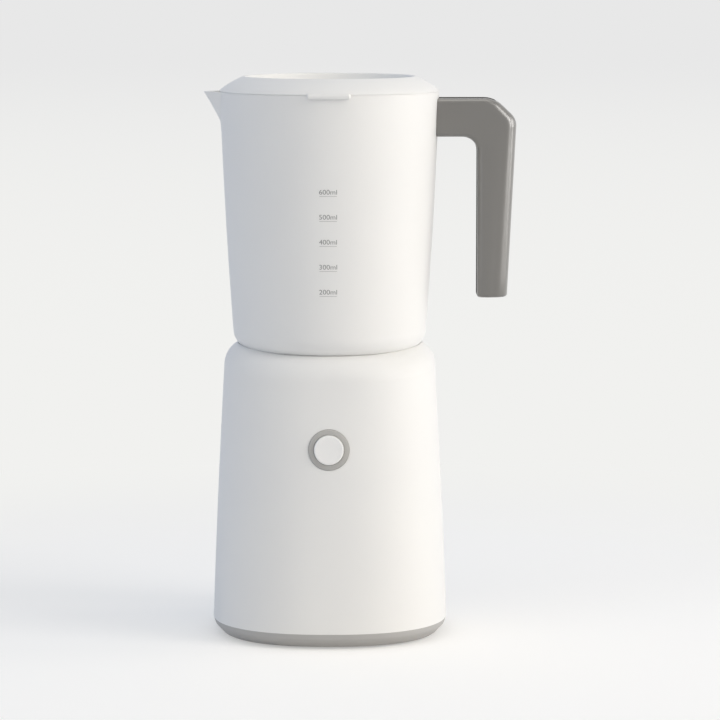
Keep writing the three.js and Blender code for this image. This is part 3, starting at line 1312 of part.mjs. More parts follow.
function lid() {
  const foot = jugRim + FIT;
  const top = foot + LID_HEIGHT;
  const slope = new THREE.QuadraticBezierCurve(
    new THREE.Vector2(LID_RADIUS, foot + FIT),
    new THREE.Vector2(LID_RADIUS - LID_BEND_IN, top - LID_BEND_DROP),
    new THREE.Vector2(LID_TOP_RADIUS, top)).getPoints(4).map((point) => point.toArray());
  const recessFloor = top - LID_RECESS_DEPTH;
  const under = recessFloor - LID_WALL;
  const skirtFoot = foot - SKIRT_DEPTH;
  const skirtInner = SKIRT_RADIUS - SKIRT_WALL;
  const grooveFoot = skirtFoot + SEAL_GROOVE_RISE;
  const grooveInner = SKIRT_RADIUS - SEAL_GROOVE_DEPTH;
  const roof = top - LID_HEIGHT / 2;
  const body = revolved([
    [0, recessFloor], [LID_RECESS_RADIUS, recessFloor], [LID_OPENING_RADIUS, top - 2 * FIT],
    ...slope.reverse(), [LID_RADIUS, foot],
    [JUG_RIM_RADIUS - JUG_WALL, foot], [SKIRT_RADIUS + LID_WALL, roof], [SKIRT_RADIUS, roof],
    [SKIRT_RADIUS, grooveFoot + SEAL_GROOVE_HEIGHT], [grooveInner, grooveFoot + SEAL_GROOVE_HEIGHT],
    [grooveInner, grooveFoot], [SKIRT_RADIUS, grooveFoot], [SKIRT_RADIUS, skirtFoot],
    [skirtInner, skirtFoot], [skirtInner, roof], [LID_OPENING_RADIUS + LID_WALL, roof],
    [LID_RECESS_RADIUS + LID_WALL, under], [0, under],
  ]);
  const tabY = -LID_RADIUS - FIT - TAB_PROUD / 2;
  const tabFoot = foot - TAB_DROP - FIT;
  const hanging = block(TAB_WIDTH, TAB_PROUD, TAB_DROP + TAB_CAP + FIT, 0, tabY, tabFoot);
  const root = block(TAB_WIDTH, TAB_PROUD + 2 * JUG_WALL, TAB_CAP, 0, tabY + JUG_WALL, foot);
  const gap = disc(JUG_RIM_RADIUS + FIT, TAB_DROP + FIT, 0, 0, tabFoot, bigSides);
  const vents = Array.from({ length: ventCount }, (_, i) => {
    const angle = turn * i / ventCount;
    return disc(VENT_RADIUS, LID_WALL + 2 * OVERRUN, VENT_RING * Math.cos(angle),
      VENT_PLACE + VENT_RING * Math.sin(angle), under - OVERRUN, tinySides);
  });
  return cut(join(body, cut(hanging, gap), root), ...vents);
}

function lidSeal() {
  const foot = jugRim + FIT - SKIRT_DEPTH + SEAL_GROOVE_RISE + FIT / 2;
  const inner = SKIRT_RADIUS - SEAL_GROOVE_DEPTH + FIT;
  const outer = SKIRT_RADIUS + SEAL_BITE;
  const height = SEAL_GROOVE_HEIGHT - FIT;
  const shoulder = outer - height / 4;
  return revolved([
    [inner, foot], [shoulder, foot], [outer, foot + height / 2], [shoulder, foot + height],
    [inner, foot + height],
  ]);
}

// Colour, roughness and metalness of each material.
function finish(colour, roughness, metalness = 0) {
  return new THREE.MeshStandardMaterial({ color: colour, roughness, metalness });
}

function piece(name, shape, material, x = 0, y = 0, z = 0) {
  const mesh = new THREE.Mesh(faceted(shape), material);
  mesh.name = name;
  mesh.position.set(x, y, z);
  return mesh;
}

const whitePlastic = () => finish(0xf1f1ef, 0.38);
const greyPlastic = () => finish(0x9d9b97, 0.42);
const gripPlastic = () => finish(0x7f7c77, 0.46);
const darkPlastic = () => finish(0x2e2f31, 0.5);
const paleRubber = () => finish(0xd9d8d4, 0.75);
const blackRubber = () => finish(0x26262a, 0.85);
const brushedSteel = () => finish(0xc7c8ca, 0.3, 1);
const castAluminium = () => finish(0xb4b6b8, 0.45, 1);
const laminationSteel = () => finish(0x8a8d92, 0.5, 1);
const copperWire = () => finish(0xa9623a, 0.4, 1);
const brass = () => finish(0xb99a58, 0.35, 1);
const carbon = () => finish(0x38383a, 0.8);
const boardLaminate = () => finish(0x2f5d3a, 0.55);

// Motor base, with the frames on its walls that carry the button, the power board and the inlet.
const base = new THREE.Group();
base.add(
  piece('base_shell', baseShell(), whitePlastic()),
  piece('jug_seat', jugSeat(), whitePlastic()),
  piece('base_ring', baseRing(), greyPlastic()),
  piece('bottom_cover', bottomCover(), greyPlastic()),
  piece('seat_socket', seatSocket(), darkPlastic(), 0, PLUG_PLACE),
  piece('shaft_seal', shaftSeal(), blackRubber()),
);
footPlaces.forEach(([side, x, y]) => base.add(piece(`foot_${side}`, foot(), blackRubber(), x, y)));
coverScrewPlaces.forEach(([side, x, y]) => {
  const headZ = screwSeat - FIT - SCREW_HEAD_THICK;
  const shape = screw(SCREW_HEAD_THICK, SCREW_LENGTH);
  base.add(piece(`cover_screw_${side}`, shape, brushedSteel(), x, y, headZ));
});
buttonFrame.add(
  piece('button_bezel', buttonBezel(), greyPlastic()),
  piece('button_cap', buttonCap(), whitePlastic()),
  piece('switch_plunger', switchPlunger(), darkPlastic()),
  piece('push_switch', pushSwitch(), darkPlastic()),
  piece('control_board', boardPlate(CONTROL_BOARD_SIZE, CONTROL_BOARD_SIZE, BOARD_SETBACK),
    boardLaminate()),
);
powerFrame.add(
  piece('power_board', boardPlate(POWER_BOARD_WIDTH, POWER_BOARD_HEIGHT, POWER_BOARD_SETBACK),
    boardLaminate()),
  piece('heater_relay', heaterRelay(), darkPlastic()),
  piece('filter_capacitor', filterCapacitor(), darkPlastic()),
);
inletFrame.add(piece('power_inlet', powerInlet(), darkPlastic()));
base.add(buttonFrame, powerFrame, inletFrame);

// Motor, hung under the well.
const motor = new THREE.Group();
const coilY = (WINDOW_INNER + WINDOW_OUTER) / 2;
const coilZ = stackFoot + stackHeight / 2;
const lowBracket = piece('motor_bracket_bottom',
  motorBracket(lowerLegLength, lowerPadHeight()), castAluminium(), 0, 0, lowBracketTop);
lowBracket.rotation.x = Math.PI;
const rearHolder = piece('brush_holder_rear', brushHolder(), darkPlastic(), 0, 0, brushZ);
const frontHolder = piece('brush_holder_front', brushHolder(), darkPlastic(), 0, 0, brushZ);
const rearBrush = piece('carbon_brush_rear', carbonBrush(), carbon(), 0, 0, brushZ);
const frontBrush = piece('carbon_brush_front', carbonBrush(), carbon(), 0, 0, brushZ);
frontHolder.rotation.z = Math.PI;
frontBrush.rotation.z = Math.PI;
motor.add(
  piece('stator_stack', statorStack(), laminationSteel(), 0, 0, stackFoot),
  piece('field_coil_front', fieldCoil(), copperWire(), 0, -coilY, coilZ),
  piece('field_coil_rear', fieldCoil(), copperWire(), 0, coilY, coilZ),
  piece('motor_bracket_top', motorBracket(TOP_LEG_LENGTH, 0), castAluminium(), 0, 0, topBracketFoot),
  lowBracket,
  piece('bearing_top', bearing(), brushedSteel(), 0, 0, topBracketFoot),
  piece('bearing_bottom', bearing(), brushedSteel(), 0, 0, lowBracketTop - BEARING_WIDTH),
  rearHolder, frontHolder, rearBrush, frontBrush,
);
base.add(motor);

function lowerPadHeight() {
  return brushZ - BRUSH_HEIGHT / 2 - HOLDER_WALL - FIT - lowBracketTop;
}

// Rotor, which turns in the two bearings.
const rotor = new THREE.Group();
rotor.add(
  piece('motor_shaft', motorShaft(), brushedSteel()),
  piece('armature_core', armatureCore(), laminationSteel(), 0, 0, stackFoot),
  piece('armature_winding', armatureWinding(), copperWire(), 0, 0, stackFoot),
  piece('commutator', commutator(), brass(), 0, 0, commutatorTop - COMMUTATOR_HEIGHT),
  piece('cooling_fan', coolingFan(), darkPlastic(), 0, 0, fanTop - FAN_HEIGHT),
  piece('drive_coupler', driveCoupler(), darkPlastic(), 0, 0, starFoot),
);
base.add(rotor);

// Jug with its heater, handle and plug.
const jug = new THREE.Group();
const handleScrews = handleScrewHeights.map((z, i) => {
  const name = ['handle_screw_upper', 'handle_screw_lower'][i];
  const x = jugRadius(z) - JUG_WALL - 2 * FIT - HANDLE_SCREW_HEAD;
  const mesh = piece(name, screw(HANDLE_SCREW_HEAD, HANDLE_SCREW_LENGTH), brushedSteel(), x, 0, z);
  mesh.rotation.y = turn / 4;
  return mesh;
});
jug.add(
  piece('jug_shell', jugShell(), whitePlastic()),
  piece('jug_liner', jugLiner(), brushedSteel()),
  piece('jug_base', jugBase(), whitePlastic()),
  piece('heater_plate', heaterPlate(), castAluminium()),
  piece('heating_element', heatingElement(), brushedSteel()),
  piece('thermostat', thermostat(), castAluminium(), 0, -THERMOSTAT_PLACE, plateUnder - FIT),
  piece('bearing_housing', bearingHousing(), brass()),
  piece('bearing_nut', bearingNut(), brushedSteel(), 0, 0, plateUnder - FIT - NUT_THICK),
  piece('jug_plug', jugPlug(), darkPlastic(), 0, PLUG_PLACE, spigotFoot),
  piece('handle', handle(), gripPlastic()),
  piece('handle_cover', handleCover(), gripPlastic()),
  ...handleScrews,
);

// Blade unit, which turns in the jug.
const blades = new THREE.Group();
const lowerBlade = piece('blade_lower', crossBlade(lowerBladeTilt, 0), brushedSteel(), 0, 0, lowerBladeZ);
const upperAround = turn / 4;
const upperBlade = piece('blade_upper', crossBlade(upperBladeTilt, upperAround), brushedSteel());
upperBlade.position.z = upperBladeZ;
upperBlade.rotation.z = upperAround;
blades.add(
  piece('blade_shaft', bladeShaft(), brushedSteel()),
  lowerBlade,
  upperBlade,
  piece('blade_nut', bladeNut(), brushedSteel(), 0, 0, bladeNutZ),
  piece('driven_coupler', drivenCoupler(), darkPlastic()),
);
jug.add(blades);

// Lid with its seal.
const lidGroup = new THREE.Group();
lidGroup.add(
  piece('lid', lid(), whitePlastic()),
  piece('lid_seal', lidSeal(), paleRubber()),
);
jug.add(lidGroup);

const nutMilkMaker = new THREE.Group();
nutMilkMaker.add(base, jug);

export default nutMilkMaker;
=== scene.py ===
import math

import bmesh
import bpy
from mathutils import Matrix, Vector


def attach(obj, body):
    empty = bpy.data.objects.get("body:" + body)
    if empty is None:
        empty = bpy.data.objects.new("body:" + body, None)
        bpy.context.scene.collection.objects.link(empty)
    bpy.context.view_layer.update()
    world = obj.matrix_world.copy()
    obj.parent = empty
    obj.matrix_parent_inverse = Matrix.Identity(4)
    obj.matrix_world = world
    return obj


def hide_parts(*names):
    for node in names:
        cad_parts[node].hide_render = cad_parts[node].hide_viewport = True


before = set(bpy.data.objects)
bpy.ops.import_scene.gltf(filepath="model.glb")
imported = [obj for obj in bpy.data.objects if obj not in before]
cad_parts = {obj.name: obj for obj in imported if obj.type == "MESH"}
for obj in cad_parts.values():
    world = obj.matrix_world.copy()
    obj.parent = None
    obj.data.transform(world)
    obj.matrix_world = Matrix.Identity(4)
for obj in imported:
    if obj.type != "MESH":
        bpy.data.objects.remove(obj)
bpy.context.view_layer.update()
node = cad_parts

MM = 0.001


# The camera. It stands where the photograph was taken from: 1.9 m in front of the drive axis, a little to
# the right of it, 375 mm up, looking down by 6.8 degrees through a long lens.
CAMERA_PLACE = (16.6 * MM, -1900 * MM, 375 * MM)
CAMERA_PITCH = math.radians(6.775)
LENS = 174.3
SENSOR = 36
FAR_CLIP = 200

bpy.ops.object.camera_add(location=CAMERA_PLACE, rotation=(math.pi / 2 - CAMERA_PITCH, 0, 0))
camera = bpy.context.object
camera.data.lens = LENS
camera.data.sensor_width = SENSOR
camera.data.clip_end = FAR_CLIP
bpy.context.scene.camera = camera
bpy.context.scene.view_settings.view_transform = "Standard"


# The studio floor. A pale matt sheet that fades into an even pale background a little way from the object,
# so that only the part under the object takes its shadow.
FLOOR_SIZE = 120
FLOOR_NEAR = 0.24
FLOOR_FAR = 0.62
BACKGROUND_DEPTH = 10
FLOOR_COLOUR = "F5F3F0"
FLOOR_GAIN = 1.31
# How much of the background's even colour lies over the floor near the object.
FLOOR_VEIL = 0.45
BACKGROUND_NEAR = "F1F1EF"
BACKGROUND_FAR = "E8E8E8"


def linear(colour):
    """An sRGB hex colour as linear red, green, blue and alpha."""
    parts = [int(colour[i:i + 2], 16) / 255 for i in (0, 2, 4)]
    return [p / 12.92 if p <= 0.04045 else ((p + 0.055) / 1.055) ** 2.4 for p in parts] + [1]


def add_node(tree, kind, settings=(), inputs=()):
    """Adds a shader node. Settings are its own values; inputs are socket values, or (node, output) links."""
    made = tree.nodes.new(kind)
    for name, value in dict(settings).items():
        setattr(made, name, value)
    for socket, value in dict(inputs).items():
        if isinstance(value, tuple) and isinstance(value[0], bpy.types.Node):
            tree.links.new(value[0].outputs[value[1]], made.inputs[socket])
        else:
            made.inputs[socket].default_value = value
    return made


def background_rays(tree):
    """1 where a ray comes from the camera, a mirror or through glass, which all see the background."""
    path = add_node(tree, "ShaderNodeLightPath")
    seen = add_node(tree, "ShaderNodeMath", {"operation": "MAXIMUM"},
                    {0: (path, "Is Camera Ray"), 1: (path, "Is Transmission Ray")})
    return add_node(tree, "ShaderNodeMath", {"operation": "MAXIMUM"},
                    {0: (seen, 0), 1: (path, "Is Glossy Ray")})


def select_nothing():
    """Leaves edit mode and deselects everything."""
    if bpy.context.object and bpy.context.object.mode == "EDIT":
        bpy.ops.object.mode_set(mode="OBJECT")
    bpy.ops.object.select_all(action="DESELECT")


select_nothing()
bpy.ops.mesh.primitive_plane_add(size=FLOOR_SIZE)
floor = bpy.context.object
floor.name = "studio_floor"
# White paper sheet: matt and even. It shows a little brighter to the camera than it lights the object.
paper = bpy.data.materials.new("matt_white_paper")
paper.use_nodes = True
tree = paper.node_tree
tree.nodes.clear()
path = add_node(tree, "ShaderNodeLightPath")
bright = [part * FLOOR_GAIN for part in linear(FLOOR_COLOUR)]
paper_tint = add_node(tree, "ShaderNodeMix", {"data_type": "RGBA", "clamp_result": False},
                      {"Factor": (path, "Is Camera Ray"), "A": linear(FLOOR_COLOUR), "B": bright})
lit = add_node(tree, "ShaderNodeBsdfDiffuse", (), {"Color": (paper_tint, "Result")})
place = add_node(tree, "ShaderNodeTexCoord")
distance = add_node(tree, "ShaderNodeVectorMath", {"operation": "LENGTH"}, {0: (place, "Object")})
away = add_node(tree, "ShaderNodeMapRange", {"interpolation_type": "SMOOTHSTEP"},
                {"Value": (distance, "Value"), "From Min": FLOOR_NEAR, "From Max": FLOOR_FAR,
                 "To Min": FLOOR_VEIL})
depth = add_node(tree, "ShaderNodeMapRange", {"interpolation_type": "SMOOTHSTEP"},
                 {"Value": (distance, "Value"), "From Min": FLOOR_FAR, "From Max": BACKGROUND_DEPTH})
fade = add_node(tree, "ShaderNodeMix", {"data_type": "RGBA"},
                {"Factor": (depth, "Result"), "A": linear(BACKGROUND_NEAR), "B": linear(BACKGROUND_FAR)})
glow = add_node(tree, "ShaderNodeEmission", (), {"Color": (fade, "Result")})
seen = background_rays(tree)
share = add_node(tree, "ShaderNodeMath", {"operation": "MULTIPLY"}, {0: (away, "Result"), 1: (seen, 0)})
mixed = add_node(tree, "ShaderNodeMixShader", (), {0: (share, 0), 1: (lit, 0), 2: (glow, 0)})
add_node(tree, "ShaderNodeOutputMaterial", (), {"Surface": (mixed, 0)})
floor.data.materials.append(paper)


# The light. A softbox on the right makes the bright right side, and two low strips beside it the bright
# edge down the handle. A weaker cool one fills the left, a soft one hangs overhead, and the room itself gives
# an even light, cooler and darker at the back left.
ROOM_BACK = "9DBDEC"
ROOM_FRONT = "E7DECF"
ROOM_STRENGTH = 0.6
# The room's colour turns from its back to its front along a way, between a start and an end.
ROOM_WAY = (0.5, -0.85, 0)
ROOM_TURN = (-0.9, 0.7)
# Each lamp's name, place and target in metres, width and height in metres, watts and colour.
LAMPS = [
    ("right_softbox", (2.0, -1.06, 1.35), (0, 0, 0.17), 1.1, 1.2, 17.2, "FFFCF8"),
    ("right_strip", (2.2, -0.75, 0.32), (0, 0, 0.2), 0.6, 1.3, 11.5, "FFFCF9"),
    ("right_rear_strip", (2.35, 0.3, 0.4), (0, 0, 0.2), 0.6, 1.3, 13.3, "FFFCF9"),
    ("left_fill", (-1.9, -1.6, 0.9), (0, 0, 0.17), 1.4, 1.4, 8.1, "E2EFFF"),
    ("overhead", (0.1, -0.5, 2.2), (0, 0, 0.17), 1.8, 1.8, 10.6, "FFFBF3"),
]

world = bpy.data.worlds.new("pale_room")
bpy.context.scene.world = world
world.use_nodes = True
tree = world.node_tree
tree.nodes.clear()
way = add_node(tree, "ShaderNodeTexCoord")
facing = add_node(tree, "ShaderNodeVectorMath", {"operation": "DOT_PRODUCT"},
                  {0: (way, "Generated"), 1: ROOM_WAY})
side = add_node(tree, "ShaderNodeMapRange", (),
                {"Value": (facing, "Value"), "From Min": ROOM_TURN[0], "From Max": ROOM_TURN[1]})
walls = add_node(tree, "ShaderNodeMix", {"data_type": "RGBA"},
                 {"Factor": (side, "Result"), "A": linear(ROOM_BACK), "B": linear(ROOM_FRONT)})
room = add_node(tree, "ShaderNodeBackground", (), {"Color": (walls, "Result"), "Strength": ROOM_STRENGTH})
behind = add_node(tree, "ShaderNodeBackground", (), {"Color": linear(BACKGROUND_FAR), "Strength": 1})
mixed = add_node(tree, "ShaderNodeMixShader", (),
                 {0: (background_rays(tree), 0), 1: (room, 0), 2: (behind, 0)})
add_node(tree, "ShaderNodeOutputWorld", (), {"Surface": (mixed, 0)})

for name, spot, target, width, height, power, colour in LAMPS:
    bpy.ops.object.light_add(type="AREA", location=spot)
    lamp = bpy.context.object
    lamp.name = name
    lamp.rotation_euler = (Vector(target) - Vector(spot)).to_track_quat("-Z", "Y").to_euler()
    lamp.data.shape = "RECTANGLE"
    lamp.data.size = width
    lamp.data.size_y = height
    lamp.data.energy = power
    lamp.data.color = linear(colour)[:3]


# The base housing. One white ABS moulding, squarish in plan, that leans in and closes over a round shoulder
# to the mouth of the well. The shoulder stands higher at the flanks, where it hugs the jug's round foot.
BAND_TOP = 8.7
SHOULDER_Z = 142.9
FOOT_HALF = 64.2
HEAD_HALF = 58
SIDE_BOW = 0.35
FRONT_SHOULDER = (143.9, 13.2)
FLANK_SHOULDER = (147.2, 14)
FRONT_MOUTH = 46.75
FLANK_MOUTH = 50.0
FLANK_POWER = 4
SHOULDER_LEAN = math.radians(3.2)
# The rim: how far outside the mouth the shoulder ends, its crest out and up, and its steps down inside.
RIM_EDGE = 0.6
RIM_CREST = (0.35, 0.06)
RIM_DROPS = (0.05, 0.3, 0.7)
HOUSING_WALL = 2.6
MOUTH_RADIUS = 47.5
LIP_FOOT = 150.3
LIP_WALL = 2.5
PLAN_POWER = 2.35
HOUSING_SIDES = 160
WELD = 0.000002
# The jug's foot, which the rim follows, and the gap between the two.
JUG_FOOT = 155.5
JUG_FOOT_RADIUS = 52.8
JUG_CORNER = 11.6
JUG_GAP = 0.3


def shape_ring(wall, half, z, power=2.0):
    """Moves the selected ring of points to the plan |x|^p + |y|^p = half^p at a height."""
    skin = bmesh.from_edit_mesh(wall.data)
    for point in skin.verts:
        if point.select:
            angle = math.atan2(point.co.y, point.co.x)
            across, along = math.cos(angle), math.sin(angle)
            reach = half / (abs(across) ** power + abs(along) ** power) ** (1 / power)
            point.co = Vector((reach * across, reach * along, z)) * MM
    bmesh.update_edit_mesh(wall.data)


def start_wall(name, half, z, sides, power=2.0):
    """Adds a circle at its size and height and opens it in edit mode, with its points selected."""
    select_nothing()
    bpy.ops.mesh.primitive_circle_add(vertices=sides, radius=half * MM, location=(0, 0, z * MM))
    wall = bpy.context.object
    wall.name = name
    bpy.ops.object.transform_apply(location=True, rotation=True, scale=True)
    bpy.ops.object.mode_set(mode="EDIT")
    shape_ring(wall, half, z, power)
    return wall


def select_points(piece, test):
    """Selects, in edit mode, the points that pass the test."""
    bpy.ops.mesh.select_mode(type="VERT")
    bpy.ops.mesh.select_all(action="DESELECT")
    skin = bmesh.from_edit_mesh(piece.data)
    skin.verts.ensure_lookup_table()
    for point in skin.verts:
        if test(point):
            point.select = True
    skin.select_flush(True)
    bmesh.update_edit_mesh(piece.data)


def loft_wall(name, rings, sides, closed=True):
    """Extrudes a ring up through [half, z, power] levels. Closed bridges the last ring to the first one;
    otherwise both ends are drawn in to the axis."""
    rings = [tuple(ring) if len(ring) == 3 else (*ring, 2.0) for ring in rings]
    wall = start_wall(name, rings[0][0], rings[0][1], sides, rings[0][2])
    for half, z, power in rings[1:]:
        bpy.ops.mesh.extrude_region_move()
        shape_ring(wall, half, z, power)
    count = len(bmesh.from_edit_mesh(wall.data).verts)
    if closed:
        select_points(wall, lambda point: point.index < sides or point.index >= count - sides)
        bpy.ops.mesh.bridge_edge_loops()
    else:
        bpy.ops.mesh.extrude_region_move()
        bpy.ops.mesh.merge(type="CENTER")
        select_points(wall, lambda point: point.index < sides)
        bpy.ops.mesh.extrude_region_move()
        bpy.ops.mesh.merge(type="CENTER")
    return wall


def close_mesh(piece):
    """Merges doubles, points the faces outwards and leaves edit mode."""
    select_points(piece, lambda point: True)
    bpy.ops.mesh.remove_doubles(threshold=WELD)
    bpy.ops.mesh.normals_make_consistent(inside=False)
    bpy.ops.object.mode_set(mode="OBJECT")


def apply_modifier(piece, kind, **settings):
    """Adds a modifier with its settings and applies it."""
    select_nothing()
    bpy.context.view_layer.objects.active = piece
    piece.select_set(True)
    bpy.ops.object.modifier_add(type=kind)
    modifier = piece.modifiers[-1]
    for name, value in settings.items():
        setattr(modifier, name, value)
    bpy.ops.object.modifier_apply(modifier=modifier.name)


def shade(piece, angle=35):
    """Shades a piece smooth, but for edges sharper than an angle in degrees."""
    select_nothing()
    bpy.context.view_layer.objects.active = piece
    piece.select_set(True)
    bpy.ops.object.shade_smooth_by_angle(angle=math.radians(angle))


def boolean(piece, tool, operation="DIFFERENCE"):
    """Cuts a tool out of a piece, or joins it on, and throws the tool away."""
    apply_modifier(piece, "BOOLEAN", object=tool, operation=operation, solver="EXACT")
    bpy.data.objects.remove(tool)


def bar(name, size, centre, edge=0.0, segments=2):
    """A box at its size and place in millimetres, with its edges bevelled."""
    select_nothing()
    bpy.ops.mesh.primitive_cube_add(size=1, location=Vector(centre) * MM)
    block = bpy.context.object
    block.name = name
    block.scale = Vector(size) * MM
    bpy.ops.object.transform_apply(location=True, rotation=True, scale=True)
    if edge:
        apply_modifier(block, "BEVEL", width=edge * MM, segments=segments)
    return block


def round_bar(name, radius, length, centre, sides=64, direction=(0, 0, 1)):
    """A cylinder about its centre in millimetres, turned so that it runs along a direction."""
    select_nothing()
    turned = Vector((0, 0, 1)).rotation_difference(Vector(direction)).to_euler()
    bpy.ops.mesh.primitive_cylinder_add(vertices=sides, radius=radius * MM, depth=length * MM,
                                        location=Vector(centre) * MM, rotation=turned)
    rod = bpy.context.object
    rod.name = name
    bpy.ops.object.transform_apply(location=True, rotation=True, scale=True)
    return rod


def side_half(z):
    """Half the housing's width at a height: a leaning side with a slight bow."""
    share = (z - BAND_TOP) / (SHOULDER_Z - BAND_TOP)
    return FOOT_HALF + (HEAD_HALF - FOOT_HALF) * share + 4 * SIDE_BOW * share * (1 - share)


def shoulder_rings(shoulder, inset, edge_radius):
    """Levels of the housing's skin from its foot over a shoulder to the mouth, drawn in by a depth."""
    start, full_bend = shoulder
    centre = side_half(start) - full_bend
    bend = full_bend - inset
    last = math.acos((edge_radius - centre) / bend)
    side = [BAND_TOP + (start - BAND_TOP) * i / 8 for i in range(9)]
    rings = [(side_half(z) - inset, z, PLAN_POWER) for z in side]
    for i in range(17):
        angle = SHOULDER_LEAN + (last - SHOULDER_LEAN) * i / 16
        power = PLAN_POWER + (2 - PLAN_POWER) * angle / last
        rings.append((centre + bend * math.cos(angle), start + bend * math.sin(angle), power))
    return rings


def foot_gap(z):
    """Radius at a height that stays just clear of the jug's round foot."""
    reach = math.sqrt(JUG_CORNER ** 2 - (JUG_FOOT + JUG_CORNER - z) ** 2)
    return JUG_FOOT_RADIUS - JUG_CORNER + reach + JUG_GAP


def housing_rings(shoulder, mouth):
    """The whole section of the housing's wall: up its skin, over the rim, under the jug's foot and down."""
    skin = shoulder_rings(shoulder, 0, mouth + RIM_EDGE)
    rim = skin[-1][1]
    return [
        *skin, (mouth + RIM_CREST[0], rim + RIM_CREST[1], 2.0),
        *[(foot_gap(rim - drop), rim - drop, 2.0) for drop in RIM_DROPS],
        (MOUTH_RADIUS, LIP_FOOT, 2.0), (MOUTH_RADIUS + LIP_WALL, LIP_FOOT, 2.0),
        *reversed(shoulder_rings(shoulder, HOUSING_WALL, MOUTH_RADIUS + LIP_WALL)),
    ]


# The wall is lofted to the front section, and then each point is moved towards the flank section by how
# far it lies round the side.
front_rings = housing_rings(FRONT_SHOULDER, FRONT_MOUTH)
flank_rings = housing_rings(FLANK_SHOULDER, FLANK_MOUTH)
housing_skin = loft_wall("housing", front_rings, HOUSING_SIDES)
skin = bmesh.from_edit_mesh(housing_skin.data)
for point in skin.verts:
    level = point.index // HOUSING_SIDES
    angle = math.atan2(point.co.y, point.co.x)
    across, along = abs(math.cos(angle)), abs(math.sin(angle))
    share = across ** FLANK_POWER
    half, z, power = [a + (b - a) * share for a, b in zip(front_rings[level], flank_rings[level])]
    reach = half / (across ** power + along ** power) ** (1 / power)
    point.co = Vector((reach * math.cos(angle), reach * math.sin(angle), z)) * MM
bmesh.update_edit_mesh(housing_skin.data)
close_mesh(housing_skin)

# The seat of the button's ring in the front wall.
BUTTON_Z = 108
BUTTON_LEAN = math.radians(2.931)
BUTTON_OUT = Vector((0, -math.cos(BUTTON_LEAN), math.sin(BUTTON_LEAN)))
BUTTON_CENTRE = Vector((0, -side_half(BUTTON_Z), BUTTON_Z))
BEZEL_RADIUS = 11
BEZEL_SLEEVE = 9.4
BEZEL_SINK = 1.3
BEZEL_PLAY = 0.3
POCKET_PLAY = 0.12
POCKET_LENGTH = 10
THROUGH = 30

pocket_centre = BUTTON_CENTRE + BUTTON_OUT * (POCKET_LENGTH / 2 - BEZEL_SINK - BEZEL_PLAY)
boolean(housing_skin, round_bar("bezel_pocket", BEZEL_RADIUS + POCKET_PLAY, POCKET_LENGTH, pocket_centre, 96,
                                BUTTON_OUT))
boolean(housing_skin, round_bar("bezel_hole", BEZEL_SLEEVE + BEZEL_PLAY, THROUGH, BUTTON_CENTRE, 96,
                                BUTTON_OUT))

# The seat of the inlet in the back wall: a pocket for its flange and a hole for its body.
INLET_Z = 34
INLET_Y = side_half(INLET_Z)
INLET_FLANGE = (31, 24)
INLET_BODY = (27.4, 20.4)
FLANGE_PLAY = 0.5
FLANGE_POCKET = 9.2
FLANGE_OUT = 2.3
FLANGE_EDGE = 1.2
BODY_PLAY = 0.6
boolean(housing_skin, bar("inlet_pocket",
                          (INLET_FLANGE[0] + FLANGE_PLAY, FLANGE_POCKET, INLET_FLANGE[1] + FLANGE_PLAY),
                          (0, INLET_Y + FLANGE_OUT, INLET_Z), FLANGE_EDGE, 4))
boolean(housing_skin, bar("inlet_hole", (INLET_BODY[0] + BODY_PLAY, THROUGH, INLET_BODY[1] + BODY_PLAY),
                          (0, INLET_Y, INLET_Z)))
shade(housing_skin)


# The size in millimetres of the drift of colour, and how plastic and lacquer bend and scatter light.
DRIFT_SIZE = 45
PLASTIC_IOR = 1.53
LACQUER_IOR = 1.65
LACQUER_ROUGHNESS = 0.3


def moulded_plastic(name, colour, shade_colour, roughness, grain, bump, specular=0.5, coat=0.0):
    """Moulded plastic: a hardly seen drift of colour over the part, and the grain of the mould as bump and as
    changes of gloss. The grain is a size in millimetres, drawn coarser than the real one, which is too fine
    to show. A coat is a clear lacquer over it."""
    finish = bpy.data.materials.new(name)
    finish.use_nodes = True
    tree = finish.node_tree
    tree.nodes.clear()
    place = add_node(tree, "ShaderNodeTexCoord")
    drift = add_node(tree, "ShaderNodeTexNoise", (),
                     {"Vector": (place, "Object"), "Scale": 1 / (DRIFT_SIZE * MM), "Detail": 2.0})
    tint = add_node(tree, "ShaderNodeMix", {"data_type": "RGBA"},
                    {"Factor": (drift, 0), "A": linear(colour), "B": linear(shade_colour)})
    grit = add_node(tree, "ShaderNodeTexNoise", (),
                    {"Vector": (place, "Object"), "Scale": 1 / (grain * MM), "Detail": 3.0,
                     "Roughness": 0.6})
    gloss = add_node(tree, "ShaderNodeMapRange", (),
                     {"Value": (grit, 0), "To Min": roughness - 0.05, "To Max": roughness + 0.05})
    relief = add_node(tree, "ShaderNodeBump", (),
                      {"Height": (grit, 0), "Strength": bump, "Distance": grain * MM * 0.2})
    surface = add_node(tree, "ShaderNodeBsdfPrincipled", (), {
        "Base Color": (tint, "Result"), "Roughness": (gloss, 0), "Normal": (relief, 0), "IOR": PLASTIC_IOR,
        "Specular IOR Level": specular, "Coat Weight": coat, "Coat IOR": LACQUER_IOR,
        "Coat Roughness": LACQUER_ROUGHNESS})
    add_node(tree, "ShaderNodeOutputMaterial", (), {"Surface": (surface, 0)})
    return finish


def dress(piece, finish, slot, body, *cad_nodes):
    """Gives a new piece its finish, seats it on its body and lets it stand for CAD nodes. The slot is not
    used.
    """
    piece.data.materials.clear()
    piece.data.materials.append(finish)
    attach(piece, body)
    if cad_nodes:
        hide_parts(*cad_nodes)


def refinish(finish, *names):
    """Gives CAD nodes that are shown as they are a better material."""
    for name in names:
        for place in node[name].material_slots:
            place.material = finish


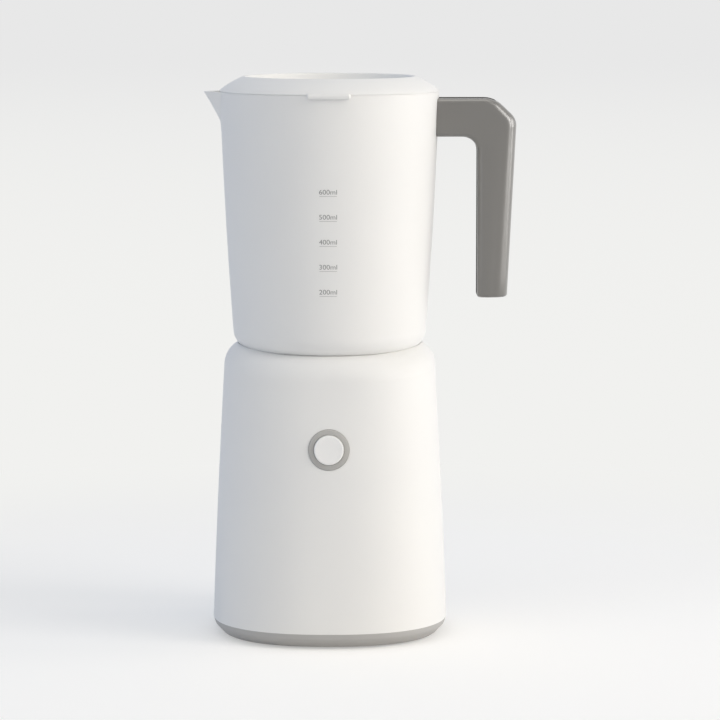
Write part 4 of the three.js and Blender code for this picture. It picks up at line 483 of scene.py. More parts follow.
# Satin ABS: an even, slightly cool white with a soft sheen.
white_abs = moulded_plastic("satin_white_abs", "F0F0EE", "ECECEB", 0.48, 0.6, 0.12, 0.22)
dress(housing_skin, white_abs, "white_plastic", "base", "base_shell")


# The base band. A grey polypropylene moulding clipped into the housing's foot, in two slopes: a short
# upright one under the housing and a wide one that turns under to the table.
BAND_SIDES = 160
BAND_OUTLINE = [
    (64.1, 8.66), (64.1, 8.3), (63.35, 5.9), (63.15, 5.5), (59.3, 1.35), (58.7, 1.05), (58.2, 1.0),
    (55.8, 1.0), (55.8, 3.7), (53.0, 3.7), (53.0, 5.9), (59.3, 5.9), (59.3, 11.7), (61.3, 11.7), (61.3, 8.66),
]
band = loft_wall("base_band", [(half, z, PLAN_POWER) for half, z in BAND_OUTLINE], BAND_SIDES)
close_mesh(band)
shade(band)
# Moulded polypropylene: a warm mid grey, a little softer in its sheen than ABS.
grey_polypropylene = moulded_plastic("satin_grey_polypropylene", "B9B8B6", "B3B2B1", 0.5, 0.7, 0.15, 0.4)
dress(band, grey_polypropylene, "grey_plastic", "base", "base_ring")


# The bottom cover, its feet and its screws. A flat grey cover with cooling slots under the fan, on four
# moulded rubber feet, held by four steel screws in deep turrets.
FOOT_PLACE = 33
FOOT_OUTLINE = [(5.2, 0), (5.6, 0.06), (5.9, 0.35), (6, 0.75), (6, 1.9)]
CORNERS = [("front_left", -1, -1), ("front_right", 1, -1), ("rear_left", -1, 1), ("rear_right", 1, 1)]

# Rubber: near black, matt, with a coarse grain.
black_rubber = moulded_plastic("matt_black_rubber", "29292C", "242426", 0.78, 0.9, 0.3, 0.3)
for corner, right, back in CORNERS:
    pad = loft_wall(f"foot_pad_{corner}", FOOT_OUTLINE, 48, closed=False)
    close_mesh(pad)
    pad.data.transform(Matrix.Translation(Vector((right, back, 0)) * FOOT_PLACE * MM))
    shade(pad)
    dress(pad, black_rubber, "black_rubber", "base", f"foot_{corner}")
refinish(grey_polypropylene, "bottom_cover")


# How many times longer than wide tool marks are, and how deep in millimetres.
BRUSH_STRETCH = 40
BRUSH_DEPTH = 0.05


def metal(name, colour, roughness, brush, along, bump=0.05):
    """Metal with fine tool marks. They run along x, y or z, around the drive axis, or in no direction for
    none. Brush is their spacing in millimetres, drawn coarse enough to show."""
    finish = bpy.data.materials.new(name)
    finish.use_nodes = True
    tree = finish.node_tree
    tree.nodes.clear()
    place = add_node(tree, "ShaderNodeTexCoord")
    fine = 1 / (brush * MM)
    if along == "around":
        parts = add_node(tree, "ShaderNodeSeparateXYZ", (), {0: (place, "Object")})
        flat = add_node(tree, "ShaderNodeCombineXYZ", (), {0: (parts, 0), 1: (parts, 1)})
        radius = add_node(tree, "ShaderNodeVectorMath", {"operation": "LENGTH"}, {0: (flat, 0)})
        turned = add_node(tree, "ShaderNodeCombineXYZ", (), {0: (radius, "Value"), 2: (parts, 2)})
        start = add_node(tree, "ShaderNodeMapping", {"vector_type": "POINT"},
                         {0: (turned, 0), "Scale": (fine, 1, fine)})
    else:
        stretch = [fine if axis != along else fine / BRUSH_STRETCH for axis in "xyz"]
        start = add_node(tree, "ShaderNodeMapping", {"vector_type": "POINT"},
                         {0: (place, "Object"), "Scale": stretch})
    marks = add_node(tree, "ShaderNodeTexNoise", (), {"Vector": (start, 0), "Scale": 1.0, "Detail": 3.0})
    gloss = add_node(tree, "ShaderNodeMapRange", (),
                     {"Value": (marks, 0), "To Min": roughness - 0.08, "To Max": roughness + 0.1})
    relief = add_node(tree, "ShaderNodeBump", (),
                      {"Height": (marks, 0), "Strength": bump, "Distance": BRUSH_DEPTH * MM})
    surface = add_node(tree, "ShaderNodeBsdfPrincipled", (), {
        "Base Color": linear(colour), "Metallic": 1.0, "Roughness": (gloss, 0), "Normal": (relief, 0)})
    add_node(tree, "ShaderNodeOutputMaterial", (), {"Surface": (surface, 0)})
    return finish


# Brushed stainless steel: pale, with fine marks round the turned parts.
turned_steel = metal("brushed_stainless_steel", "C9CACC", 0.3, 0.35, "around")
refinish(turned_steel, *[f"cover_screw_{corner}" for corner, right, back in CORNERS])


# The push button. A white ABS cap with a slightly dished face slides in a grey ring that is snapped into the
# front wall, and its stem works the plunger of the switch behind.
BEZEL_PROUD = 0.7
BEZEL_DEPTH = 6
CAP_RADIUS = 7.98
CAP_PROUD = 2.0
CAP_BORE = 8.14
CAP_FLANGE = 9.0
STEM_RADIUS = 2.5
BEZEL_OUTLINE = [
    (CAP_BORE, -BEZEL_DEPTH), (BEZEL_SLEEVE, -BEZEL_DEPTH), (BEZEL_SLEEVE, -BEZEL_SINK),
    (BEZEL_RADIUS, -BEZEL_SINK), (BEZEL_RADIUS, -0.1), (BEZEL_RADIUS - 0.1, 0.15),
    (BEZEL_RADIUS - 0.35, 0.35), (BEZEL_RADIUS - 0.9, 0.52), (CAP_BORE + 0.75, BEZEL_PROUD),
    (CAP_BORE + 0.2, BEZEL_PROUD - 0.02), (CAP_BORE + 0.05, BEZEL_PROUD - 0.1),
    (CAP_BORE, BEZEL_PROUD - 0.25),
]
CAP_OUTLINE = [
    (STEM_RADIUS, -7.6), (STEM_RADIUS, -7.3), (CAP_FLANGE, -7.3), (CAP_FLANGE, -6.3), (CAP_RADIUS, -6.3),
    (CAP_RADIUS, CAP_PROUD - 0.7), (CAP_RADIUS - 0.08, CAP_PROUD - 0.35),
    (CAP_RADIUS - 0.3, CAP_PROUD - 0.1), (CAP_RADIUS - 0.65, CAP_PROUD),
    (CAP_RADIUS - 1.1, CAP_PROUD - 0.03), (5, CAP_PROUD - 0.14), (2.4, CAP_PROUD - 0.2),
]


def on_front_wall(piece):
    """Turns a piece made about +Z so that it looks out of the front wall at the button's place."""
    turned = Vector((0, 0, 1)).rotation_difference(BUTTON_OUT).to_matrix().to_4x4()
    piece.data.transform(turned)
    for point in piece.data.vertices:
        point.co += BUTTON_CENTRE * MM


bezel = loft_wall("button_ring", BEZEL_OUTLINE, 128)
close_mesh(bezel)
on_front_wall(bezel)
shade(bezel)
# Semi-gloss ABS: a glossier grey than the band's, with a soft highlight on its edge.
ring_grey = moulded_plastic("semi_gloss_grey_abs", "B7B6B3", "B2B1AE", 0.34, 0.6, 0.06)
dress(bezel, ring_grey, "grey_plastic", "base", "button_bezel")

cap = loft_wall("button_cap_crown", CAP_OUTLINE, 96, closed=False)
close_mesh(cap)
on_front_wall(cap)
shade(cap)
# Semi-gloss white ABS: brighter and smoother than the wall round it.
cap_white = moulded_plastic("semi_gloss_white_abs", "F4F4F3", "F1F1F0", 0.3, 0.6, 0.05)
dress(cap, cap_white, "white_plastic", "button", "button_cap")

# Glass-filled nylon: near black, dull, with a faint speckle.
black_nylon = moulded_plastic("glass_filled_black_nylon", "303133", "2A2B2D", 0.52, 0.5, 0.2)
refinish(black_nylon, "push_switch", "switch_plunger")


# The well. A white ABS moulding that the jug's spigot drops into, with a raised ring to stand on, a hole for
# the motor's seal and one for the socket, and four posts below that carry the motor.
WELL_OUTLINE = [
    (8.0, 128.5), (45.2, 128.5), (45.2, 147.5), (51.3, 147.5), (51.3, 150.0), (47.2, 150.0), (47.2, 153.2),
    (46.9, 153.5), (43.9, 153.5), (43.35, 153.2), (43.2, 152.6), (43.2, 132.2), (42.9, 131.3),
    (42.2, 131.0), (40.2, 131.0), (40.0, 131.2), (40.0, 132.9), (39.7, 133.2), (36.3, 133.2),
    (36.0, 132.9), (36.0, 131.2), (35.8, 131.0), (8.0, 131.0),
]
POST_PLACE = 20
POST_RADIUS = 4
POST_LENGTH = 10.5
POST_Z = 123.75
PLUG_Y = 30
SOCKET_HOLE = (20.6, 9.6, 20)
SOCKET_Z = 130

well = loft_wall("well", WELL_OUTLINE, 128)
close_mesh(well)
for x in (-POST_PLACE, POST_PLACE):
    for y in (-POST_PLACE, POST_PLACE):
        boolean(well, round_bar("motor_post", POST_RADIUS, POST_LENGTH, (x, y, POST_Z), 32), "UNION")
boolean(well, bar("socket_hole", SOCKET_HOLE, (0, PLUG_Y, SOCKET_Z)))
shade(well)
dress(well, white_abs, "white_plastic", "base", "jug_seat")
refinish(black_nylon, "seat_socket")
refinish(black_rubber, "shaft_seal")


# The appliance inlet. A black moulded socket in the back wall, with a shouldered mouth and three plated
# pins, that takes the lead's connector.
refinish(black_nylon, "power_inlet")


# The boards. Green glass laminate with copper tracks under the lacquer; the relay and the capacitor stand on
# the power board, and the push switch on the control board.
TRACK_PITCH = 2.5
BRICK_ROW = 0.25


def circuit_board(name):
    """Board whose tracks show as a paler green under the lacquer, in rows a track pitch apart. A brick
    texture at scale 1 has rows of 0.25 units."""
    finish = bpy.data.materials.new(name)
    finish.use_nodes = True
    tree = finish.node_tree
    tree.nodes.clear()
    place = add_node(tree, "ShaderNodeTexCoord")
    tracks = add_node(tree, "ShaderNodeTexBrick", {"offset": 0.35}, {
        "Vector": (place, "Object"), "Scale": BRICK_ROW / (TRACK_PITCH * MM), "Mortar Size": 0.03,
        "Color1": linear("1F6B3E"), "Color2": linear("23724A"), "Mortar": linear("3D8F5A")})
    surface = add_node(tree, "ShaderNodeBsdfPrincipled", (), {
        "Base Color": (tracks, "Color"), "Roughness": 0.28, "Coat Weight": 0.4})
    add_node(tree, "ShaderNodeOutputMaterial", (), {"Surface": (surface, 0)})
    return finish


# Lacquered glass laminate: deep green with paler tracks and a clear gloss.
green_laminate = circuit_board("lacquered_glass_laminate")
refinish(green_laminate, "control_board", "power_board")
refinish(black_nylon, "heater_relay")
# Shrunk vinyl sleeve: smooth dark blue.
blue_sleeve = moulded_plastic("shrunk_vinyl_sleeve", "26364F", "223047", 0.25, 0.8, 0.02)
refinish(blue_sleeve, "filter_capacitor")


# The motor. Varnished steel sheets and enamelled copper coils between two cast brackets, with carbon brushes
# in moulded holders on the copper commutator, and a moulded fan below.
WAVE_BAND = 0.314
GROOVE_DEPTH = 0.1


def banded(name, colour, groove, pitch, roughness, axis):
    """Metal in layers or turns: dark grooves across one axis at a pitch in millimetres. A wave texture at
    scale 1 has a band each 0.314 units."""
    finish = bpy.data.materials.new(name)
    finish.use_nodes = True
    tree = finish.node_tree
    tree.nodes.clear()
    place = add_node(tree, "ShaderNodeTexCoord")
    lines = add_node(tree, "ShaderNodeTexWave",
                     {"wave_type": "BANDS", "bands_direction": axis, "wave_profile": "SIN"},
                     {"Vector": (place, "Object"), "Scale": WAVE_BAND / (pitch * MM), "Distortion": 0.0})
    tint = add_node(tree, "ShaderNodeMix", {"data_type": "RGBA"},
                    {"Factor": (lines, "Fac"), "A": linear(groove), "B": linear(colour)})
    relief = add_node(tree, "ShaderNodeBump", (),
                      {"Height": (lines, "Fac"), "Strength": 0.4, "Distance": GROOVE_DEPTH * MM})
    surface = add_node(tree, "ShaderNodeBsdfPrincipled", (), {
        "Base Color": (tint, "Result"), "Metallic": 1.0, "Roughness": roughness, "Normal": (relief, 0)})
    add_node(tree, "ShaderNodeOutputMaterial", (), {"Surface": (surface, 0)})
    return finish


# Varnished steel sheets: dull grey, with the dark lines of the joints drawn twice as far apart as they are.
sheet_stack = banded("varnished_steel_sheets", "9A9C9F", "5C5E61", 1.0, 0.42, "Z")
refinish(sheet_stack, "stator_stack", "armature_core")
# Enamelled copper wire: warm brown turns with darker gaps, glossy from the varnish.
field_wire = banded("enamelled_copper_coil", "B5683A", "7A4022", 0.8, 0.35, "Y")
refinish(field_wire, "field_coil_front", "field_coil_rear")
rotor_wire = banded("enamelled_copper_winding", "B5683A", "7A4022", 0.9, 0.35, "Z")
refinish(rotor_wire, "armature_winding")
# Cast aluminium: pale and dull, with the rough skin of the mould.
cast_aluminium = metal("cast_aluminium", "B6B8BA", 0.5, 1.2, "none", 0.25)
refinish(cast_aluminium, "motor_bracket_top", "motor_bracket_bottom")
refinish(turned_steel, "bearing_top", "bearing_bottom", "motor_shaft")
refinish(black_nylon, "brush_holder_front", "brush_holder_rear", "cooling_fan", "drive_coupler")
# Pressed carbon: nearly black, dull and slightly sandy.
pressed_carbon = moulded_plastic("pressed_carbon", "3A3A3C", "323234", 0.7, 0.4, 0.2)
refinish(pressed_carbon, "carbon_brush_front", "carbon_brush_rear")
# Turned copper: bright and reddish, with rings from the tool.
copper_bars = metal("turned_copper", "B9764B", 0.3, 0.3, "around")
refinish(copper_bars, "commutator")


# The jug wall. A white ABS outer wall with a round corner at its foot, a side that leans out with a slight
# bow, and a pouring spout pulled out of its rim. The steel cup hangs inside it.
JUG_RIM = 296.5
JUG_RIM_RADIUS = 59.6
JUG_BOW = 0.65
JUG_WALL = 2.2
JUG_OPENING = 38.6
JUG_SIDES = 320
CORNER_TURN = math.radians(85.85)
LEDGE = 288.2
LEDGE_MOUTH = 54.95
SPOUT_REACH = 8.8
SPOUT_HALF = 13
SPOUT_HEIGHT = 16.5
SPOUT_WALL = 1.9
SPOUT_SILL = 289.3
SPOUT_ROOT = 0.05
SPOUT_FLARE = 1.15
SPOUT_ROUND = 1.4
# How far in and how far down the points of the rim's rounded edge lie.
RIM_CURVE = [(0, 0.12), (0.03, 0.04), (0.12, 0), (1.7, 0), (2.0, 0.08), (JUG_WALL, 0.35)]


def jug_radius(z):
    """Radius of the jug's outer wall at a height above its corner."""
    share = (z - JUG_FOOT - JUG_CORNER) / (JUG_RIM - JUG_FOOT - JUG_CORNER)
    return JUG_FOOT_RADIUS + (JUG_RIM_RADIUS - JUG_FOOT_RADIUS) * share + 4 * JUG_BOW * share * (1 - share)


def jug_rings(inset, levels):
    """Levels of the jug's side, drawn in by a depth: round the corner, then up through some heights."""
    bend = JUG_CORNER - inset
    rings = []
    for i in range(13):
        angle = CORNER_TURN * i / 12
        rings.append((JUG_FOOT_RADIUS - JUG_CORNER + bend * math.sin(angle),
                      JUG_FOOT + JUG_CORNER - bend * math.cos(angle)))
    return rings + [(jug_radius(z) - inset, z) for z in levels]


def spout_pull(point, z, inset):
    """How far the spout pulls a point of the wall out at a height."""
    share = SPOUT_ROOT + (1 - SPOUT_ROOT) * (z - JUG_RIM + SPOUT_HEIGHT) / SPOUT_HEIGHT
    if share <= SPOUT_ROOT or point.x > 0:
        return 0
    width = (SPOUT_HALF - inset) * math.sqrt(share)
    along = abs(point.y) / MM / width
    return SPOUT_REACH * share ** SPOUT_FLARE * (1 - along ** SPOUT_ROUND) if along < 1 else 0


low_levels = [180, 200, 220, 240, 260, 274]
spout_levels = [280.2 + 0.8 * i for i in range(20)]
inner_levels = [SPOUT_SILL + 0.1 + 0.75 * i for i in range(9)]
jug_profile = [
    (JUG_OPENING, JUG_FOOT), *jug_rings(0, low_levels + spout_levels),
    *[(JUG_RIM_RADIUS - inward, JUG_RIM - down) for inward, down in RIM_CURVE],
    *[(jug_radius(z) - JUG_WALL, z) for z in reversed(inner_levels)],
    (jug_radius(SPOUT_SILL) - JUG_WALL, SPOUT_SILL),
    (jug_radius(LEDGE) - JUG_WALL, LEDGE + 0.05), (LEDGE_MOUTH + 0.2, LEDGE), (LEDGE_MOUTH, LEDGE - 0.2),
    (LEDGE_MOUTH, LEDGE - 1), (jug_radius(LEDGE - 3) - JUG_WALL, LEDGE - 3),
    *reversed(jug_rings(JUG_WALL, low_levels)), (JUG_OPENING, JUG_FOOT + JUG_WALL),
]
jug_wall = loft_wall("jug_wall", jug_profile, JUG_SIDES)

# The spout. The outer skin is pulled out from its root up, and the inner skin follows it above the sill. A
# point belongs to a skin when it lies no deeper than this behind it.
OUTER_DEPTH = 0.9
INNER_DEPTH = 0.3
RIM_DEPTH = 0.5
SILL_STEP = 0.05
skin = bmesh.from_edit_mesh(jug_wall.data)
for point in skin.verts:
    z = point.co.z / MM
    reach = math.hypot(point.co.x, point.co.y) / MM
    outer_radius = jug_radius(z) if z < JUG_RIM - RIM_DEPTH else JUG_RIM_RADIUS
    if reach > outer_radius - OUTER_DEPTH:
        point.co.x -= spout_pull(point.co, z, 0) * MM
    elif z > SPOUT_SILL + SILL_STEP and reach > jug_radius(z) - JUG_WALL - INNER_DEPTH:
        pull = spout_pull(point.co, z, SPOUT_WALL)
        if pull > 0:
            point.co.x -= (pull + (JUG_WALL - SPOUT_WALL)) * MM
bmesh.update_edit_mesh(jug_wall.data)
close_mesh(jug_wall)
shade(jug_wall, 40)
dress(jug_wall, white_abs, "white_plastic", "jug", "jug_shell")


# The level marks. Figures and fine lines, one of each for every 100 ml from 200 up to 600, pad-printed with
# grey ink on the front of the moulded jug.
MARK_SIZE = 3.6
MARK_WIDTH = 9.5
MARK_X = -0.3
LINE_WIDTH = 9.3
LINE_THICK = 0.13
PRINT_THICK = 0.05
PRINT_LIFT = 0.02
# Each mark's figures, and the heights of the middle of the figures and of the line.
MARKS = [
    ("600ml", 245.5, 243.26), ("500ml", 232.2, 229.94), ("400ml", 218.85, 216.58),
    ("300ml", 205.45, 203.19), ("200ml", 192.05, 189.76),
]


def wrap_on_jug(print_mesh, z):
    """Lays flat print, drawn in x and y with z as its thickness, on the jug's side at a height."""
    for point in print_mesh.vertices:
        height = z + point.co.y / MM
        radius = jug_radius(height) + PRINT_LIFT + point.co.z / MM
        angle = (point.co.x / MM + MARK_X) / jug_radius(z)
        point.co = Vector((radius * math.sin(angle), -radius * math.cos(angle), height)) * MM


printed = []
for text, text_z, line_z in MARKS:
    select_nothing()
    bpy.ops.object.text_add()
    figures = bpy.context.object
    figures.data.body = text
    figures.data.align_x = "CENTER"
    figures.data.align_y = "CENTER"
    figures.data.size = MARK_SIZE * MM
    figures.data.extrude = PRINT_THICK * MM / 2
    bpy.ops.object.convert(target="MESH")
    bpy.context.view_layer.update()
    width = figures.dimensions.x / MM
    low = min(point.co.y for point in figures.data.vertices)
    high = max(point.co.y for point in figures.data.vertices)
    for point in figures.data.vertices:
        point.co.x *= MARK_WIDTH / width
        point.co.y -= (low + high) / 2
    wrap_on_jug(figures.data, text_z)
    printed.append(figures)
    line = bar("mark_line", (LINE_WIDTH, LINE_THICK, PRINT_THICK), (0, 0, 0))
    bpy.ops.object.mode_set(mode="EDIT")
    bpy.ops.mesh.select_all(action="SELECT")
    bpy.ops.mesh.subdivide(number_cuts=7)
    bpy.ops.object.mode_set(mode="OBJECT")
    wrap_on_jug(line.data, line_z)
    printed.append(line)
select_nothing()
for item in printed:
    item.select_set(True)
bpy.context.view_layer.objects.active = printed[0]
bpy.ops.object.join()
marks = bpy.context.object
marks.name = "level_marks"
# Printing ink: flat mid grey, matt.
grey_ink = moulded_plastic("grey_pad_print_ink", "949494", "8E8E8E", 0.6, 0.3, 0.05)
dress(marks, grey_ink, "grey_plastic", "jug")


# The steel cup. Deep drawn from 0.8 mm stainless sheet with a flange that lies on the jug's ledge, brushed
# round inside. The blade unit's housing goes through its floor.
CUP_SIDES = 192
CUP_FLOOR = 158.8
CUP_WALL = 0.8
CUP_CORNER = 9
CUP_FOOT_RADIUS = 45.8
CUP_HOLE = 8.3
CUP_FLANGE = [
    (53.9, 287.6), (54.2, 288.3), (54.6, 288.5), (56.6, 288.5), (56.6, 289.3), (54.4, 289.3),
    (53.7, 289.15), (53.3, 288.6), (53.1, 287.6),
]


def cup_bend(outside):
    """Points round the corner of the cup's floor, at a distance outside its inner face."""
    bend = CUP_CORNER + outside
    return [(CUP_FOOT_RADIUS - CUP_CORNER + bend * math.sin(math.pi / 2 * i / 10),
             CUP_FLOOR + CUP_CORNER - bend * math.cos(math.pi / 2 * i / 10)) for i in range(11)]


cup = loft_wall("steel_cup", [
    (CUP_HOLE, CUP_FLOOR - CUP_WALL), *cup_bend(CUP_WALL), *CUP_FLANGE, *reversed(cup_bend(0)),
    (CUP_HOLE, CUP_FLOOR),
], CUP_SIDES)
close_mesh(cup)
shade(cup)
dress(cup, turned_steel, "brushed_steel", "jug", "jug_liner")


# The spigot under the jug. A white ABS cover that closes the jug's foot and drops into the well, with the
# plug for the heater and a round opening for the coupling.
SPIGOT_OUTLINE = [
    (15, 133.5), (41.4, 133.5), (42.0, 133.7), (42.45, 134.1), (42.6, 134.7), (42.6, 155.2), (38.3, 155.2),
    (38.3, 157.2), (36.7, 157.2), (36.7, 152.5), (40.4, 152.5), (40.4, 135.7), (15, 135.7),
]
PLUG_HOLE = (20.6, 9.6, 12)
PLUG_HOLE_Z = 134

spigot = loft_wall("jug_spigot", SPIGOT_OUTLINE, 128)
close_mesh(spigot)
boolean(spigot, bar("plug_hole", PLUG_HOLE, (0, PLUG_Y, PLUG_HOLE_Z)))
shade(spigot)
dress(spigot, white_abs, "white_plastic", "jug", "jug_base")
refinish(black_nylon, "jug_plug", "driven_coupler")


# The heater. A cast plate pressed against the cup's floor, with a sheathed tube element under it and a
# thermostat, all held by the bearing housing's nut.
refinish(cast_aluminium, "heater_plate", "thermostat")
# Bead blasted steel tube: an even mid grey with a broad, dull sheen.
blasted_sheath = metal("bead_blasted_steel_tube", "A8A9AB", 0.48, 0.8, "none", 0.1)
refinish(blasted_sheath, "heating_element")
# Turned brass: warm yellow and bright, with rings from the tool.
turned_brass = metal("turned_brass", "C2A35E", 0.28, 0.3, "around")
refinish(turned_brass, "bearing_housing")
refinish(turned_steel, "bearing_nut", "handle_screw_upper", "handle_screw_lower")


# The blade unit. Two stamped and ground stainless blades crossed on a flatted shaft under a cap nut, driven
# from below by a moulded coupling.
refinish(turned_steel, "blade_shaft", "blade_nut")
# Ground stainless steel: the brightest of the metals, with fine marks that run one way.
ground_steel = metal("ground_stainless_steel", "D0D1D3", 0.22, 0.3, "x", 0.08)
refinish(ground_steel, "blade_lower", "blade_upper")


# The handle. A warm grey polypropylene moulding with well rounded edges under a satin lacquer, screwed to the
# jug's wall from inside, with a soft, dark inlay along the inner side of the grip. Painted shade in a darker
# grey lies along the middle of its top, inner side and underside.
ARM_TOP = 293
ARM_UNDER = 272.2
GRIP_INNER = 80.3
GRIP_OUTER = 101.6
GRIP_FOOT_OUTER = 96.9
HANDLE_FOOT = 184.8
# Each bend's centre and radius in the side view. The first outer one turns by BEND_TURN degrees.
UPPER_BEND = (84.2, 279.0, 14)
LOWER_BEND = (92.6, 277.9, 9)
BEND_TURN = 44
INNER_BEND = (72.1, 264.0, 8.2)
ARM_STEPS = 4
BEND_STEPS = 7
GRIP_STEPS = 8
HANDLE_DEPTH = 24
HANDLE_CROWN = 0.45
ARM_EDGE = 2.6
INNER_EDGE = 3.8
OUTER_EDGE = 8.2
END_EDGE = 1.4
HANDLE_ROOT = 46
ROOT_PLAY = 0.15
# Where the points of a bulging face lie across it, from edge to edge.
CROWN_PLACES = (-0.75, -0.45, -0.15, 0.15, 0.45, 0.75)
INLAY_WIDTH = 12.5
INLAY_DEPTH = 2.2
INLAY_START = 68.2
INLAY_FOOT = 190.8
INLAY_EDGE = 0.4
INLAY_SINK = 0.05
INLAY_PLAY = 0.15
GROOVE_OUT = -1
GROOVE_SPARE = 0.2


def handle_stations(root, foot):
    """Pairs of an inner and an outer point of the handle's side view, from a root on the arm round the bend
    to a height, each with the share of the way round the bend."""
    inner_x, inner_z, radius = INNER_BEND
    stations = []
    for i in range(ARM_STEPS):
        inner = root + (inner_x - root) * i / ARM_STEPS
        outer = root + (UPPER_BEND[0] - root) * i / ARM_STEPS
        stations.append(((inner, ARM_UNDER), (outer, ARM_TOP), 0))
    upper = [(BEND_TURN * i / BEND_STEPS, UPPER_BEND) for i in range(BEND_STEPS + 1)]
    lower = [(BEND_TURN + (90 - BEND_TURN) * i / BEND_STEPS, LOWER_BEND) for i in range(BEND_STEPS + 1)]
    for i, (turn, (outer_x, outer_z, bend)) in enumerate(upper + lower):
        across, up = math.sin(math.radians(turn)), math.cos(math.radians(turn))
        share = i / (2 * BEND_STEPS + 1)
        inner = math.radians(90 * share)
        stations.append(((inner_x + radius * math.sin(inner), inner_z + radius * math.cos(inner)),
                         (outer_x + bend * across, outer_z + bend * up), share))
    for i in range(1, GRIP_STEPS + 1):
        inner = inner_z + (foot - inner_z) * i / GRIP_STEPS
        outer = LOWER_BEND[1] + (foot - LOWER_BEND[1]) * i / GRIP_STEPS
        lean = (GRIP_OUTER - GRIP_FOOT_OUTER) * (LOWER_BEND[1] - outer) / (LOWER_BEND[1] - HANDLE_FOOT)
        stations.append(((GRIP_INNER, inner), (GRIP_OUTER - lean, outer), 1))
    return stations


def rounded_section(inner, outer, low, high, width, edges, steps, crown=0):
    """Rounded rectangle between two depths from the inner point towards the outer one, across the handle.
    The edges are the roundings of the inner and the outer side. The crown is how far its faces bulge."""
    start, end = Vector((inner[0], 0, inner[1])), Vector((outer[0], 0, outer[1]))
    way = (end - start).normalized()
    first = start + way * low
    last = end if high is None else start + way * high
    middle = (first + last) / 2
    half = (last - first).length / 2
    points = []
    for corner in range(4):
        sign = [(1, 1), (-1, 1), (-1, -1), (1, -1)][corner]
        edge = edges[0] if sign[0] < 0 else edges[1]
        for i in range(steps + 1):
            angle = math.pi / 2 * (corner + i / steps)
            reach = sign[0] * (half - edge) + edge * math.cos(angle)
            side = sign[1] * (width / 2 - crown - edge) + edge * math.sin(angle)
            points.append((middle + way * reach + Vector((0, side, 0))) * MM)
        if crown and corner in (0, 2):
            for t in CROWN_PLACES:
                reach = (edges[0] - edges[1]) / 2 - sign[0] * t * (half - (edges[0] + edges[1]) / 2)
                side = sign[1] * (width / 2 - crown * t * t)
                points.append((middle + way * reach + Vector((0, side, 0))) * MM)
    return points


def sweep_handle(name, root, foot, low, high, width, arm_edges, grip_edges, steps, crown=0):
    """Extrudes a rounded section from a root on the arm round the bend to a foot, and fills both ends. Its
    edges turn from those of the arm to those of the grip on the way."""
    sections = []
    for inner, outer, share in handle_stations(root, foot):
        edges = [arm + (grip - arm) * share for arm, grip in zip(arm_edges, grip_edges)]
        sections.append(rounded_section(inner, outer, low, high, width, edges, steps, crown))
    count = len(sections[0])
    select_nothing()
    bpy.ops.mesh.primitive_circle_add(vertices=count)
    swept = bpy.context.object
    swept.name = name
    bpy.ops.object.mode_set(mode="EDIT")
    for level, section in enumerate(sections):
        if level:
            bpy.ops.mesh.extrude_region_move()
        skin = bmesh.from_edit_mesh(swept.data)
        skin.verts.ensure_lookup_table()
        for i, place in enumerate(section):
            skin.verts[level * count + i].co = place
        bmesh.update_edit_mesh(swept.data)
    bpy.ops.mesh.edge_face_add()
    select_points(swept, lambda point: point.index < count)
    bpy.ops.mesh.edge_face_add()
    close_mesh(swept)
    return swept


def jug_core(clearance):
    """The jug's outer shape with a clearance, to cut the handle's root with."""
    side = [(radius + clearance, z) for radius, z in jug_rings(0, low_levels + [285, JUG_RIM])]
    core = loft_wall("jug_core", [(10, JUG_FOOT), *side, (10, JUG_RIM + 1)], 192, closed=False)
    close_mesh(core)
    return core


grip = sweep_handle("grip", HANDLE_ROOT, HANDLE_FOOT, 0, None, HANDLE_DEPTH, (ARM_EDGE, ARM_EDGE),
                    (INNER_EDGE, OUTER_EDGE), 10, HANDLE_CROWN)
apply_modifier(grip, "BEVEL", width=END_EDGE * MM, segments=4, limit_method="ANGLE",
               angle_limit=math.radians(60))
groove_edges = (2 * INLAY_PLAY, 2 * INLAY_PLAY)
boolean(grip, sweep_handle("inlay_groove", INLAY_START - INLAY_PLAY, INLAY_FOOT - INLAY_PLAY, GROOVE_OUT,
                           INLAY_DEPTH + GROOVE_SPARE, INLAY_WIDTH + 2 * INLAY_PLAY, groove_edges,
                           groove_edges, 1))
boolean(grip, jug_core(ROOT_PLAY))

# Painted shade: the faces across the middle of the top, the inner side and the underside, which face away
# from the light, take a darker grey, cut off in a line at each side. Faces that look out to the right keep
# the shell's grey.
PAINTED_SHADE_HALF = 8.2
PAINTED_SHADE_FACING = 0.45
bpy.ops.object.mode_set(mode="EDIT")
for side in (-1, 1):
    select_points(grip, lambda point: True)
    bpy.ops.mesh.bisect(plane_co=(0, side * PAINTED_SHADE_HALF * MM, 0), plane_no=(0, 1, 0))
bpy.ops.object.mode_set(mode="OBJECT")
shade(grip, 40)
# Warm grey polypropylene under a satin lacquer, which gives the rounded edges their broad pale shine.
grip_grey = moulded_plastic("satin_lacquered_warm_grey_polypropylene", "5E5B56", "5C5954", 0.3, 0.5, 0.05,
                            1.0, 1.0)
dress(grip, grip_grey, "grip_plastic", "jug", "handle")
# Soft elastomer for the inlay: darker, dull, with hardly any sheen. The same grey is painted shade on the
# handle's middle faces.
inlay_and_painted_shade_grey = moulded_plastic("matt_dark_grey_elastomer_and_painted_shade", "45423F", "413E3B", 0.75, 0.5, 0.2, 0.08)
grip.data.materials.append(inlay_and_painted_shade_grey)
# Painted shade: faces in the middle band that do not look out to the right take the darker grey.
for face in grip.data.polygons:
    in_painted_shade = abs(face.center.y) < PAINTED_SHADE_HALF * MM and face.normal.x < PAINTED_SHADE_FACING
    face.material_index = 1 if in_painted_shade else 0

inlay = sweep_handle("grip_inlay", INLAY_START, INLAY_FOOT, INLAY_SINK, INLAY_DEPTH, INLAY_WIDTH,
                     (INLAY_EDGE, INLAY_EDGE), (INLAY_EDGE, INLAY_EDGE), 2)
shade(inlay, 40)
dress(inlay, inlay_and_painted_shade_grey, "grip_plastic", "jug", "handle_cover")


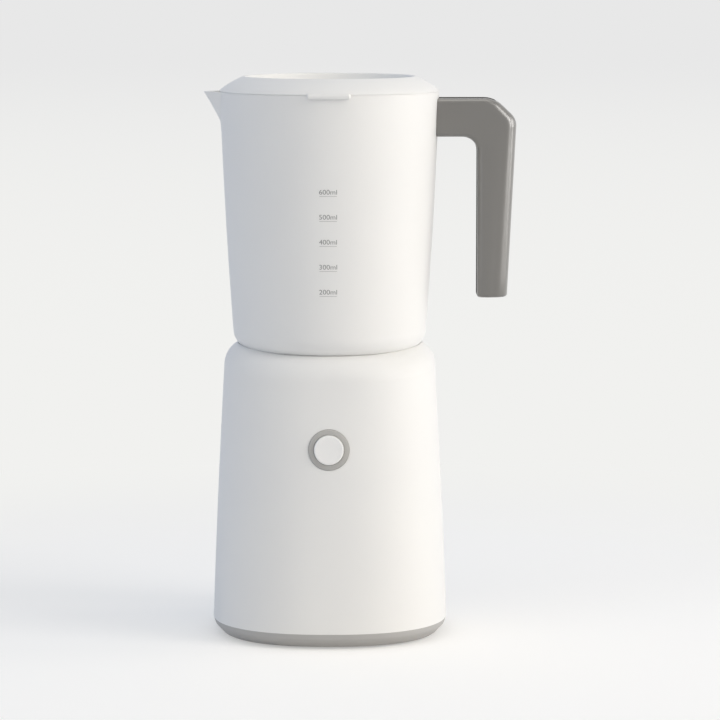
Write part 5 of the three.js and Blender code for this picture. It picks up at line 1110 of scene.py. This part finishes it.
# The lid. A white ABS lid with a sloping shoulder round a deep recess, a skirt that plugs the cup, steam
# holes and a tab over the front of the jug's rim to lift it by.
LID_SIDES = 256
RECESS_OUTLINE = [
    (2, 293.0), (43.2, 293.0), (43.7, 293.15), (43.95, 293.6), (45.75, 303.9), (45.85, 304.3),
    (46.1, 304.65), (46.45, 304.8),
]
SLOPE_START = (59.7, 297.1)
SLOPE_BEND = (55.9, 300.8)
SLOPE_END = (46.9, 304.65)
SKIRT_OUTLINE = [
    (59.68, 296.7), (59.65, 296.62), (59.56, 296.58), (57.4, 296.58), (54.2, 300.8), (52.0, 300.8),
    (52.0, 287.6), (50.7, 287.6), (50.7, 284.4), (52.0, 284.4), (52.0, 283.7), (51.8, 283.5), (49.7, 283.5),
    (49.5, 283.7), (49.5, 300.8), (48.0, 300.8), (46.0, 290.8), (2, 290.8),
]
TAB_SIZE = (23.5, 5.4, 3.4)
TAB_CENTRE = (0, -59.3, 296.3)
TAB_EDGE = 1.5
TAB_BORE = 59.9
TAB_BORE_LENGTH = 3.2
TAB_BORE_Z = 295.2
STEAM_HOLES = 6
STEAM_HOLE_RADIUS = 1.6
STEAM_CIRCLE = 5.5
STEAM_Y = 24
STEAM_Z = 292


def lid_slope(steps):
    """The shoulder's bowed slope, from the rim up to the ridge."""
    start, bend, end = Vector(SLOPE_START), Vector(SLOPE_BEND), Vector(SLOPE_END)
    shares = [i / steps for i in range(steps + 1)]
    return [tuple(start * (1 - t) ** 2 + bend * 2 * t * (1 - t) + end * t * t) for t in shares]


lid_outline = [*RECESS_OUTLINE, *reversed(lid_slope(14)), *SKIRT_OUTLINE]
lid_body = loft_wall("lid_body", lid_outline, LID_SIDES, closed=False)
close_mesh(lid_body)
tab = bar("lid_tab", TAB_SIZE, TAB_CENTRE, TAB_EDGE, 6)
boolean(tab, round_bar("tab_bore", TAB_BORE, TAB_BORE_LENGTH, (0, 0, TAB_BORE_Z), 256))
boolean(lid_body, tab, "UNION")
for i in range(STEAM_HOLES):
    angle = math.tau * i / STEAM_HOLES
    centre = (STEAM_CIRCLE * math.cos(angle), STEAM_Y + STEAM_CIRCLE * math.sin(angle), STEAM_Z)
    boolean(lid_body, round_bar("steam_hole", STEAM_HOLE_RADIUS, 6, centre, 32))
shade(lid_body)
dress(lid_body, white_abs, "white_plastic", "lid", "lid")

# Silicone seal in the skirt's groove: pale, soft and matt, with a rounded lip that meets the cup.
SEAL_OUTLINE = [
    (51.0, 284.55), (52.0, 284.55), (52.45, 285.0), (52.72, 285.6), (52.75, 286.0), (52.72, 286.4),
    (52.45, 287.0), (52.0, 287.45), (51.0, 287.45),
]
lip_ring = loft_wall("seal_ring", SEAL_OUTLINE, 192)
close_mesh(lip_ring)
shade(lip_ring)
pale_silicone = moulded_plastic("translucent_pale_silicone", "DAD9D5", "D4D3CF", 0.55, 0.8, 0.05)
dress(lip_ring, pale_silicone, "pale_rubber", "lid", "lid_seal")
